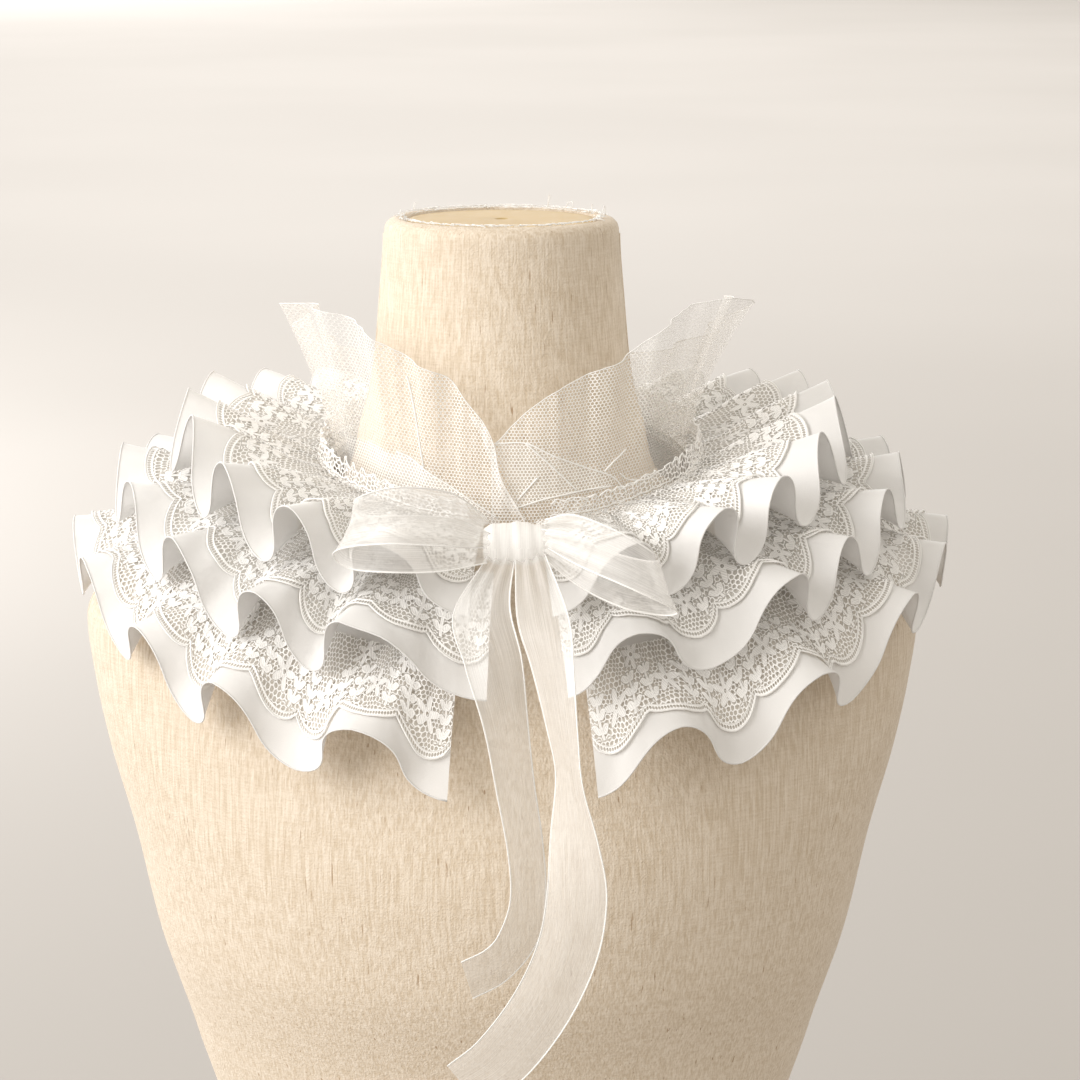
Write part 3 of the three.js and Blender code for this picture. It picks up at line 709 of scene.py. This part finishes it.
def spray_distance(n, across, up):
    """How far a place lies outside a spray's stem and slanted leaves, less than 0 inside them."""
    rise = n.math("DIVIDE", n.less(up, SPRAY["foot"]), SPRAY["apart"])
    bent = n.less(n.times(rise, SPRAY["lean"]), n.times(rise, rise, SPRAY["bend"]))
    aside = n.math("ABSOLUTE", n.less(n.less(across, SPRAY["across"]), bent))
    along = n.less(rise, n.times(aside, LEAF["slant"] / SPRAY["apart"]))
    off_middle = n.math("ABSOLUTE", n.less(n.math("FRACT", n.total(along, 9)), 0.5))
    out = n.math("DIVIDE", aside, LEAF["length"], clamp=True)
    half_width = n.times(n.math("SINE", n.times(out, math.pi)), LEAF["half_width"])
    past_tip = n.most(n.less(aside, LEAF["length"]), 0)
    leaf = n.total(n.less(n.times(off_middle, 0.74 * SPRAY["apart"]), half_width), past_tip)
    nearest = n.least(leaf, n.less(aside, STEM_HALF_WIDTH))
    return n.most(nearest, n.less(SPRAY["foot"], up), n.less(up, SPRAY["top"]))


def lace_material():
    """Lace: honeycomb net, woven flowers and leaves with an outline, and an edge with eyelets."""
    n = Nodes("scalloped_lace")
    place = n.uv()
    wander = n.add("TexNoise", {"Vector": place, "Scale": 0.09, "Detail": 1.0}).outputs["Color"]
    shaken = n.vector("ADD", place, n.vector("MULTIPLY", wander, (5, 5, 0)))
    net = n.fade(n.hexagons(shaken, LACE_CELL), 0.09, 0.17, 1, 0)
    parts = n.add("SeparateXYZ", {"Vector": place})
    along = parts.outputs["X"]
    across = n.math("PINGPONG", n.less(along, SCALLOP_PITCH / 2), SCALLOP_PITCH / 2)
    up = n.math("MODULO", n.field("up"), PATTERN_HEIGHT)
    motif = spray_distance(n, across, up)
    for middle, height, petals, radius in FLOWERS:
        x = n.less(across, middle)
        motif = n.least(motif, flower_distance(n, x, n.less(up, height), petals, radius))
    net = n.times(net, n.fade(motif, 0.55, 0.95, 0.4, 1))
    woven = n.fade(motif, -0.3, 0.0, 1, 0)
    slanted = n.total(along, n.times(parts.outputs["Y"], 0.45))
    stitches = n.fade(n.math("PINGPONG", slanted, 0.6), 0.14, 0.42, 0.82, 1)
    outline = n.fade(n.math("ABSOLUTE", motif), 0.26, 0.46, 1, 0)
    from_edge = n.field("from_edge")
    band = n.fade(from_edge, *LACE_BAND, 1, 0)
    across_eye = n.less(n.math("PINGPONG", along, EYELET_HALF_PITCH), EYELET_HALF_PITCH / 2)
    up_eye = n.times(n.less(from_edge, EYELETS_FROM_EDGE), 0.75)
    eye = n.math("SQRT", n.total(n.times(across_eye, across_eye), n.times(up_eye, up_eye)))
    edge = n.times(band, n.fade(eye, 0.46, 0.68, 0, 1))
    solid = n.most(n.times(woven, stitches), outline)
    inner = n.times(n.most(net, solid), n.less(1, band))
    cover = n.most(inner, edge)
    n.set(Base_Color=n.mixed(n.fade(cover, 0.4, 1), LACE_DARK, LACE_LIGHT))
    n.set(Alpha=cover, Roughness=n.fade(cover, 0, 1, 0.72, 0.55), Sheen_Weight=0.2)
    n.bump(n.blend((cover, 0.5), (outline, 0.5)), 0.0004, 0.6)
    return n.material


def net_material():
    """Stiff net: a fine open honeycomb, whiter where it is folded double or seen aslant."""
    n = Nodes("fine_net")
    threads = n.fade(n.hexagons(n.uv(), NET_CELL), 0.08, 0.17, 1, 0)
    seen = n.times(threads, n.field("threads"))
    cover = n.math("ADD", seen, n.field("haze"), clamp=True)
    n.set(Base_Color=n.mixed(threads, NET_DARK, NET_LIGHT))
    n.set(Alpha=cover, Roughness=n.fade(threads, 0, 1, 0.7, 0.55))
    n.bump(threads, 0.0002, 0.5)
    return n.material


def ribbon_material(name, least, most):
    """Sheer ribbon: fine streaks along it, over an even veil, and close-woven edges."""
    n = Nodes(name)
    place = n.uv()
    streaks = n.noise(place, 1.0, 2, (0.03, 3.2, 1))
    crosses = n.noise(place, 1.0, 1, (3.5, 0.2, 1))
    border = n.fade(n.field("from_edge"), 0.4, 0.8, 1, 0)
    veil = n.fade(streaks, 0.3, 0.7, least, most)
    veil = n.total(veil, n.times(crosses, 0.06))
    cover = n.math("MAXIMUM", veil, n.times(border, 0.9), clamp=True)
    n.set(Base_Color=n.mixed(streaks, RIBBON_DARK, RIBBON_LIGHT))
    n.set(Alpha=cover, Roughness=n.fade(streaks, 0.3, 0.7, 0.36, 0.5), Sheen_Weight=0.3)
    n.bump(streaks, 0.0002, 0.3)
    return n.material


def floor_material():
    """The pale floor, which is also all that shows behind the form."""
    n = Nodes("pale_floor")
    cloud = n.noise(n.here(), 0.6, 2)
    n.set(Base_Color=n.mixed(n.fade(cloud, 0.3, 0.7), FLOOR_DARK, FLOOR_LIGHT))
    n.set(Roughness=n.fade(cloud, 0.3, 0.7, 0.85, 0.9))
    return n.material


LINEN = linen_material()
BOARD = disc_material()
CLOTH = cloth_material()
CORD = thread_material()
LACE = lace_material()
NET = net_material()
RIBBON = ribbon_material("sheer_ribbon", 0.32, 0.46)
KNOTTED = ribbon_material("gathered_ribbon", 0.8, 0.94)


# ---- The dress form


def form_grid(sides, heights):
    """Rings of the form's linen, from its base up its sides: two half ellipses at each height."""
    half_width, front, back = (
        curve(FORM_SECTIONS, FORM_COLUMNS, name, heights) for name in FORM_COLUMNS[1:]
    )
    way_x, way_y = heading_way(np.arange(sides)[:, None] * 360 / sides)
    depth = np.where(way_y < 0, front, back)
    return np.stack(np.broadcast_arrays(way_x * half_width, way_y * depth, heights), axis=-1)


def dress_form():
    """The form's linen, from the middle of its sole up to where it turns in over the disc."""
    body = form_grid(FORM_SIDES, FORM_HEIGHTS)
    rim = form_rim()
    flat = np.array([0.0, 0.0, 1.0])
    sole, seat = body[:, :1] * flat, rim[:, -1:] * flat
    grid = np.concatenate([sole, body, rim, seat], axis=1)[:, ::-1]
    mesh = grid_mesh("dress_form", grid, closed=True)
    shown("dress_form_linen", mesh, LINEN, ["dress_form"])


def form_rim():
    """The linen's turned-in top edge, a little uneven."""
    sides = np.arange(FORM_SIDES)[:, None]
    wobble = RIM_WOBBLE * ripples(sides, FORM_RIM_HEIGHTS, SEED, *RIM_WOBBLE_WAVES)
    return round_axis(sides * 360 / FORM_SIDES, FORM_RIM_RADII - np.abs(wobble), FORM_RIM_HEIGHTS)


def form_seams():
    """Narrow welts where the form's linen panels meet, behind and at both sides."""
    body = form_grid(360, np.linspace(*SEAM_HEIGHTS))
    lines = [(body[turn], SEAM_RADIUS) for turn in SEAM_TURNS]
    corded("form_seams", lines, LINEN, 6)


def frayed_threads():
    """The frayed end of the linen: short threads round the disc, and a few that stand up."""
    chance = np.random.default_rng(SEED)
    t = np.linspace(0, 1, 7)
    lines = []
    for number in range(FRAY_COUNT):
        turn = chance.uniform(0, 360)
        length = chance.uniform(2, 6)
        start = chance.uniform(41.2, 46)
        sweep = chance.uniform(-8, 8)
        reach = start + length * t * chance.uniform(-0.2, 0.6)
        rise = chance.uniform(0.1, 0.5)
        if number % FRAY_STANDING == 0:
            rise = chance.uniform(3, 7)
        turns = turn + sweep * t + 1.2 * np.sin(5 * t)
        past_rim = np.maximum(reach - 46.5, 0)
        rim_top = np.where(reach < 43, FRAY_TOP, FRAY_EDGE_TOP - past_rim**2 * 0.085)
        z = rim_top + rise * np.sin(math.pi * t) + FRAY_RADIUS
        lines.append((round_axis(turns, reach, z), FRAY_RADIUS))
    corded("frayed_threads", lines, sides=4)


def neck_disc():
    """The disc let into the neck's top, with the dimple in its middle."""
    low, high = (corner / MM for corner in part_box("neck_cap"))
    radii, below = np.array(DISC_PROFILE).T
    centre, rim = DISC_PROFILE[0][0], DISC_PROFILE[-1][0]
    radii = np.concatenate([radii, [rim, centre]])
    rises = np.concatenate([high[2] + below, [low[2], low[2]]])
    grid = round_axis(np.arange(DISC_SIDES)[:, None] * 360 / DISC_SIDES, radii, rises)
    mesh = grid_mesh("neck_disc", grid, closed=True)
    shown("neck_disc", mesh, BOARD, ["neck_cap"])


# ---- The collar


def tier_points(tier, folds, places, ways):
    """Points of a tier's cloth at places along its folds and ways from its head (0) to its hem."""
    turns, swings, curls = (column(folds, FOLD_COLUMNS, name) for name in FOLD_COLUMNS)
    wave = np.clip(np.floor(places).astype(int), 0, len(folds) - 2)
    share = places - wave
    ease = share**2 * (3 - 2 * share)

    def between(values, part):
        return values[wave] + (values[wave + 1] - values[wave]) * part

    swing, curl = between(swings, ease), np.radians(between(curls, ease))
    flattened = np.maximum(ways, FLATTEN_FROM) ** FLATTEN_POWER
    along, height = fold_shape(*np.broadcast_arrays(curl * flattened, share))
    turn = between(turns, along)
    puff = guide_row("puff", turn)
    lift = tier["head_lift"] + (tier["hem_lift"] * puff - tier["head_lift"]) * ways
    fullness = ways**FOLD_EASE
    drawn = FOLD_DRAW * fullness * (height + 1) / 2
    s = tier["head"] + (tier["hem"] - tier["head"]) * ways - drawn
    return on_guide(turn, s, lift + swing * fullness * height * puff)


def softened(grid, u, v, ways, seed):
    """The small gathers at a tier's head, and the soft creases of its worn cloth."""
    gathers = GATHER_HEIGHT * (1 - ways) ** 1.5 * ripples(u, 0.1 * v, seed, *GATHER_WAVES)
    belly = np.sin(math.pi * np.clip(0.9 * ways, 0, 1)) ** 0.5
    creases = CREASE_HEIGHT * belly * ripples(u, v, seed + 1, *CREASE_WAVES)
    wrinkles = WRINKLE_HEIGHT * ripples(u, 0.3 * v, seed + 2, *WRINKLE_WAVES) * (1.2 - ways)
    return grid + normals(grid) * (gathers + creases + wrinkles)[..., None]


def tier_pieces(name, seed):
    """One tier: its cloth with a rolled hem, and the lace that lies on it."""
    tier, folds = TIERS[name], FOLDS[name]
    count = (len(folds) - 2) * STEPS_PER_FOLD
    places = np.linspace(0.5, len(folds) - 1.5, count + 1)[:, None]
    ways = np.concatenate([np.linspace(0, 0.91, CLOTH_ROWS - len(HEM_WAYS)), HEM_WAYS])[None, :]
    plain = tier_points(tier, folds, places, ways)
    u, v = flat_places(plain)
    grid = softened(plain, u, v, ways, seed)
    # A whole number of scallops along the lace, and its edge as a share of the way to the hem.
    pitch = u[-1, 0] / round(u[-1, 0] / SCALLOP_PITCH)
    edge = LACE_WAY - SCALLOP_DEPTH * scallop(u, pitch) / v[0, -1]
    # Painted shade under the lace: 1 where the lace covers the cloth, fading out at its edge.
    fields = {"under_lace": np.clip((edge - ways) * v[0, -1] / LACE_SHADE_WIDTH, 0, 1)}
    mesh = grid_mesh(f"tier_{name}_cloth", grid, u, v, fields=fields)
    cloth = shown(f"{name}_ruffle_cloth", mesh, CLOTH, [f"tier_{name}_cloth"])

    hem = corded(f"{name}_hem_roll", [(grid[:, -1], HEM_ROLL_RADIUS)], CLOTH, 6)
    tier_lace(name, places, u, edge, pitch, seed)


def scallop(u, pitch):
    """How far the lace's edge stands back from the tips of its scallops, as a share of them."""
    share = np.mod(u / pitch, 1)
    return 1 - np.sin(math.pi * share) ** SCALLOP_ROUND


def tier_lace(name, places, u, edge, pitch, seed):
    """A tier's lace, moved out from its cloth, with the cords of its scalloped edge."""
    field = np.linspace(0, LACE_FIELD_TO, LACE_ROWS - LACE_EDGE_ROWS)
    ways = edge * np.concatenate([field, np.linspace(LACE_EDGE_FROM, 1, LACE_EDGE_ROWS)])[None, :]
    plain = tier_points(TIERS[name], FOLDS[name], places, ways)
    v = length_along(plain, 1)
    grid = softened(plain, u, v, ways, seed)
    grid = grid + normals(grid) * LACE_OUT
    up = v[:, -1:] - v + SCALLOP_DEPTH * scallop(u, pitch)
    fields = {"up": up, "from_edge": v[:, -1:] - v}
    mesh = grid_mesh(f"tier_{name}_lace", grid, u * SCALLOP_PITCH / pitch, v, fields=fields)
    lace = shown(f"{name}_ruffle_lace", mesh, LACE, [f"tier_{name}_lace"])

    out = normals(grid)
    inner = grid_at_distance(grid, v, LACE_INNER_CORD)
    lines = [
        (grid[:, -1] + 0.2 * out[:, -1], LACE_CORD_RADIUS),
        (inner + 0.1 * out[:, -4], LACE_INNER_CORD_RADIUS),
    ]
    cords = corded(f"{name}_lace_cords", lines)


def grid_at_distance(grid, v, distance):
    """The point of each row that lies this far from the row's end."""
    points = []
    for row, lengths in zip(grid, v):
        place = lengths[-1] - distance
        points.append([np.interp(place, lengths, row[:, axis]) for axis in range(3)])
    return np.array(points)


def collar_base():
    """The plain base that the tiers are sewn to, close over the form's shoulders."""
    turns = np.linspace(*BASE_TURNS, BASE_STEPS)[:, None]
    shares = np.linspace(*BASE_SHARES, BASE_ROWS)[None, :]
    grid = on_guide(turns, shares, BASE_LIFT)
    u, v = flat_places(grid)
    mesh = grid_mesh("collar_base", grid, u, v)
    piece = shown("collar_base_cloth", mesh, CLOTH, ["collar_base"])


def neck_heading():
    """The gathered heading of the lace: a narrow frill of pinched lace along the neckline."""
    turns = np.linspace(*HEADING_TURNS, HEADING_STEPS)[:, None]
    rise = np.linspace(0, 1, HEADING_ROWS)[None, :]
    chance = np.random.default_rng(SEED + 3)
    strides = chance.uniform(0.5, 1.5, HEADING_STEPS)
    phase = np.cumsum(strides)[:, None] * 2 * math.pi * HEADING_WAVES / HEADING_STEPS
    spread = 0.4 + 0.6 * rise
    swing = spread * (np.sin(phase + 0.8 * rise) + 0.35 * np.sin(2.7 * phase))
    s = HEADING_FOOT + (HEADING_TOP - HEADING_FOOT) * rise + HEADING_SWING * swing
    uneven = HEADING_UNEVEN * ripples(turns, 0, SEED + 4, *HEADING_UNEVEN_WAVES)
    puff = np.abs(np.sin(phase / 2)) - 0.6
    height = (HEADING_HEIGHT + HEADING_RAISE) * rise * (HEADING_EVEN + uneven)
    grid = on_guide(turns, s, HEADING_LIFT - HEADING_SINK + height + puff * rise)[:, ::-1]
    u, v = flat_places(grid, edge=0)
    fields = {"up": HEADING_PATTERN_FOOT + v, "from_edge": HEADING_HEIGHT}
    mesh = grid_mesh("neck_heading", grid, u, v, fields=fields)
    piece = shown("neck_heading_frill", mesh, LACE, ["neck_heading"])
    lines = [(grid[:, row], radius) for row, radius in HEADING_CORDS]
    cords = corded("neck_heading_cord", lines)


def net_place(turn, height, outward=0.0):
    """Points of the net, at a turn and a height over its foot, or so much further outward."""
    full, lean, swing = (net_row(name, turn) for name in NET_COLUMNS[1:])
    rise = height / full
    whole = NET_TURNS[1] - NET_TURNS[0]
    phase = 2 * math.pi * NET_WAVES * (turn - NET_TURNS[0]) / whole
    phase = phase + NET_UNEVEN * ripples(turn, 0, SEED + 5, *NET_UNEVEN_WAVES)
    foot = on_guide(turn, 0, 0)
    way_x, way_y = heading_way(turn)
    out = lean * rise**NET_LEAN_POWER + swing * rise * np.sin(phase) - NET_INSET
    # The two ends cross over a few degrees: the first lies outward and the last inward.
    crossing = np.clip((9 - turn) / 6, 0, 1) - 0.7 * np.clip((turn - 351) / 6, 0, 1)
    out = out + NET_CROSSING * crossing * np.clip(height / 8, 0, 1)
    out = out + NET_SOFT * rise * ripples(turn * 1.3, 3 * rise, SEED + 6, *NET_SOFT_WAVES)
    rumpled = ripples(turn, 9 * rise, SEED + 8, *NET_RUMPLED_WAVES)
    out = out + NET_RUMPLED * np.clip(lean / NET_RUMPLED_LEAN, 0, 1) * rise * rumpled + outward
    x, y, z = foot[..., 0] + way_x * out, foot[..., 1] + way_y * out, foot[..., 2] + height
    return np.stack([x, y, z], axis=-1)


def inside(x, y, outline):
    """Whether points lie inside an outline, by how often a level line from them crosses it."""
    within = np.zeros(np.broadcast(x, y).shape, bool)
    for (ax, ay), (bx, by) in zip(outline, outline[1:] + outline[:1]):
        if ay == by:
            continue
        crosses = (ay > y) != (by > y)
        within ^= crosses & (x < ax + (y - ay) / (by - ay) * (bx - ax))
    return within


def net_ruffle():
    """The standing ruffle of net: its folded edges fan out from the knot in front."""
    turns = np.linspace(NET_STATIONS[0][0], NET_STATIONS[-1][0], NET_STEPS)[:, None]
    full, lean = net_row("height", turns), net_row("lean", turns)
    rise = np.linspace(1, 0, NET_ROWS)[None, :]
    grid = net_place(turns, full * rise)
    u, v = length_along(grid, 0)[:, -1:], length_along(grid, 1)
    double = 0.0
    fading = np.where(turns < 180, np.clip((NET_FADE_TO - turns) / NET_FADE_OVER, 0, 1), 1)
    for share, outline in NET_DOUBLES:
        double = np.maximum(double, share * fading * inside(turns, full * rise, outline))
    flare = np.clip(lean / NET_FULL_FLARE, 0, 1)
    veil = NET_VEIL + flare * (NET_FOOT_VEIL + NET_TOP_VEIL * rise)
    fields = {"haze": double + veil, "threads": 1 - NET_FLARE_THREADS * flare}
    mesh = grid_mesh("net_ruffle", grid, u, full * rise, fields=fields)
    piece = shown("net_ruffle_veil", mesh, NET, ["net_ruffle"])
    lines = [(grid[:, 0], NET_HEM_RADIUS), (grid[0], NET_END_RADIUS), (grid[-1], NET_END_RADIUS)]
    for crease in NET_CREASES:
        path = through(crease, np.linspace(0, len(crease) - 1, 40))
        lines.append((net_place(path[:, 0], path[:, 1], NET_CREASE_OUT), NET_CREASE_RADIUS))
    edge = corded("net_edges", lines)


# ---- The bow


def through(rows, places):
    """A round curve through the rows of a table, at places counted in rows."""
    rows = np.array(rows, float)
    padded = np.concatenate([2 * rows[:1] - rows[1:2], rows, 2 * rows[-1:] - rows[-2:-1]])
    i = np.clip(np.floor(places).astype(int), 0, len(rows) - 2)
    t = (places - i)[:, None]
    a, b, c, d = (padded[i + k] for k in range(4))
    square, cube = 2 * a - 5 * b + 4 * c - d, 3 * b - a - 3 * c + d
    return 0.5 * (2 * b + (c - a) * t + square * t**2 + cube * t**3)


def ribbon(name, seed):
    """A tail or a loop of the sheer ribbon, pinched where it goes into the knot."""
    table = RIBBONS[name]
    loop = name.startswith("bow")
    along = through(table, np.linspace(0, len(table) - 1, RIBBON_STEPS))
    x, y, z, flat, tilt, width = along.T
    turn, lift = np.radians(flat), np.radians(tilt)
    middle = np.stack([x, y, z], axis=-1)
    level = np.cos(lift)
    side = np.stack([level * np.cos(turn), level * np.sin(turn), np.sin(lift)], axis=-1)
    across = np.linspace(-1, 1, RIBBON_ROWS)
    half = RIBBON_WIDTH / 2 * width
    grid = middle[:, None] + across[None, :, None] * (half[:, None] * side)[:, None]
    out = normals(grid)
    row = RIBBON_ROWS // 2
    u, v = length_along(grid, 0)[:, row : row + 1], (across * RIBBON_WIDTH / 2)[None, :]
    pinch = np.exp(-u / RIBBON_PINCH_LENGTH)
    if loop:
        pinch = pinch + np.exp(-(u[-1] - u) / RIBBON_PINCH_LENGTH)
    pleats = RIBBON_PLEAT * pinch * np.sin(across * RIBBON_PLEATS + 0.5 * seed)[None, :]
    soft = RIBBON_SOFT * (1 - pinch) * ripples(v, u * 0.35, seed, *RIBBON_SOFT_WAVES)
    crown = (LOOP_CROWN if loop else TAIL_CROWN) * (1 - across**2)[None, :]
    grid = grid + out * (pleats + soft + crown)[..., None]
    fields = {"from_edge": RIBBON_WIDTH / 2 - np.abs(v)}
    mesh = grid_mesh(name, grid, u, v, fields=fields)
    piece = shown(f"{name}_sheer", mesh, RIBBON, [name])
    lines = [(grid[:, edge], RIBBON_EDGE_RADIUS) for edge in (0, -1)]
    cords = corded(f"{name}_edges", lines)


def ribbon_knot():
    """The ribbon's knot: a short turn of ribbon pulled tight, creased along its length."""
    around = np.linspace(0, 2 * math.pi, KNOT_STEPS, endpoint=False)[:, None]
    across = np.linspace(-1, 1, KNOT_ROWS)[None, :]
    belly = 1 - 0.3 * np.abs(across) ** 3
    crease = 0.04 * np.sin(across * 7 + 0.9 * np.sin(around)) + 0.02 * np.sin(across * 17 + around)
    size = belly * (1 + crease)
    grid = np.stack(
        [
            KNOT["x"] + (KNOT["half_width"] + KNOT_LIP) * across + 0 * around,
            KNOT["y"] - KNOT["half_depth"] * size * np.cos(around),
            KNOT["z"] + KNOT["half_height"] * size * np.sin(around),
        ],
        axis=-1,
    )
    v = across * RIBBON_WIDTH / 2
    u = around * KNOT["half_height"]
    fields = {"from_edge": RIBBON_WIDTH / 2 - np.abs(v)}
    mesh = grid_mesh("ribbon_knot", grid, u, v, closed=True, fields=fields)
    shown("ribbon_knot_wrap", mesh, KNOTTED, ["ribbon_knot"])


# ---- The stage


# Round lamps over the floor behind the form, which make it lighter to the left and far away:
# (x, y, height, width in metres, power in watts).
FLOOR_LAMPS = [
    (-2.5, 2.5, 1.2, 1.2, 135),
    (-6, 4, 3.5, 3, 106),
    (0, 6, 3.5, 3, 59),
    (-1.5, 9, 5, 4, 82),
    (0, 13, 8, 6, 540),
    (-4, 20, 5, 4, 560),
]
FLOOR_HALF_WIDTH = 30


def floor():
    """A wide plain floor."""
    half = FLOOR_HALF_WIDTH
    mesh = bpy.data.meshes.new("floor")
    corners = [(-half, -half, 0), (half, -half, 0), (half, half, 0), (-half, half, 0)]
    mesh.from_pydata(corners, [], [(0, 1, 2, 3)])
    mesh.materials.append(floor_material())
    placed("floor", mesh)


def light(name, kind, power, colour):
    """A light of this kind, not yet turned."""
    data = bpy.data.lights.new(name, kind)
    data.energy = power
    data.color = colour
    return placed(name, data)


def area_light(name, place, target, size, power, colour):
    """A round lamp that looks at a target."""
    lamp = light(name, "AREA", power, colour)
    lamp.data.shape = "DISK"
    lamp.data.size = size
    lamp.location = place
    lamp.rotation_euler = (Vector(target) - Vector(place)).to_track_quat("-Z", "Y").to_euler()


def sun(name, way, strength, angle, colour):
    """A sun that shines from this way."""
    lamp = light(name, "SUN", strength, colour)
    lamp.data.angle = math.radians(angle)
    lamp.rotation_euler = Vector(way).to_track_quat("Z", "Y").to_euler()


def lights():
    """The key from the left, the lamps, and a warm even sky."""
    sun("key", way=(-1.9, -0.8, 0.62), strength=1.2, angle=50, colour=(0.99, 0.985, 0.99))
    near, middle, warm = (-0.75, -0.62, 0.85), (0, 0, 0.5), (1.0, 0.985, 0.965)
    area_light("front_left", near, middle, size=0.7, power=5, colour=warm)
    for number, (x, y, height, width, power) in enumerate(FLOOR_LAMPS, 1):
        name, place, below = f"floor_lamp_{number}", (x, y, height), (x, y, 0)
        area_light(name, place, below, width, power, (0.98, 0.985, 1.0))
    world = bpy.data.worlds.new("studio")
    world.use_nodes = True
    background = world.node_tree.nodes["Background"]
    background.inputs["Color"].default_value = (1.0, 0.945, 0.86, 1)
    background.inputs["Strength"].default_value = 0.85
    bpy.context.scene.world = world
    bpy.context.scene.view_settings.view_transform = "Standard"


def camera():
    """The camera, before the form and looking down on it a little, as the photo's does."""
    lens = bpy.data.cameras.new("camera")
    lens.sensor_width = 36
    lens.lens = 118.5
    lens.clip_end = 100
    eye = placed("camera", lens)
    eye.location = (0.017, -1.5706, 0.8098)
    eye.rotation_euler = (math.radians(79), 0, 0)
    bpy.context.scene.camera = eye


dress_form()
form_seams()
frayed_threads()
neck_disc()
collar_base()
for number, tier_name in enumerate(TIERS):
    tier_pieces(tier_name, SEED + 10 * number)
neck_heading()
net_ruffle()
ribbon_knot()
for number, ribbon_name in enumerate(RIBBONS):
    ribbon(ribbon_name, SEED + number)
floor()
lights()
camera()
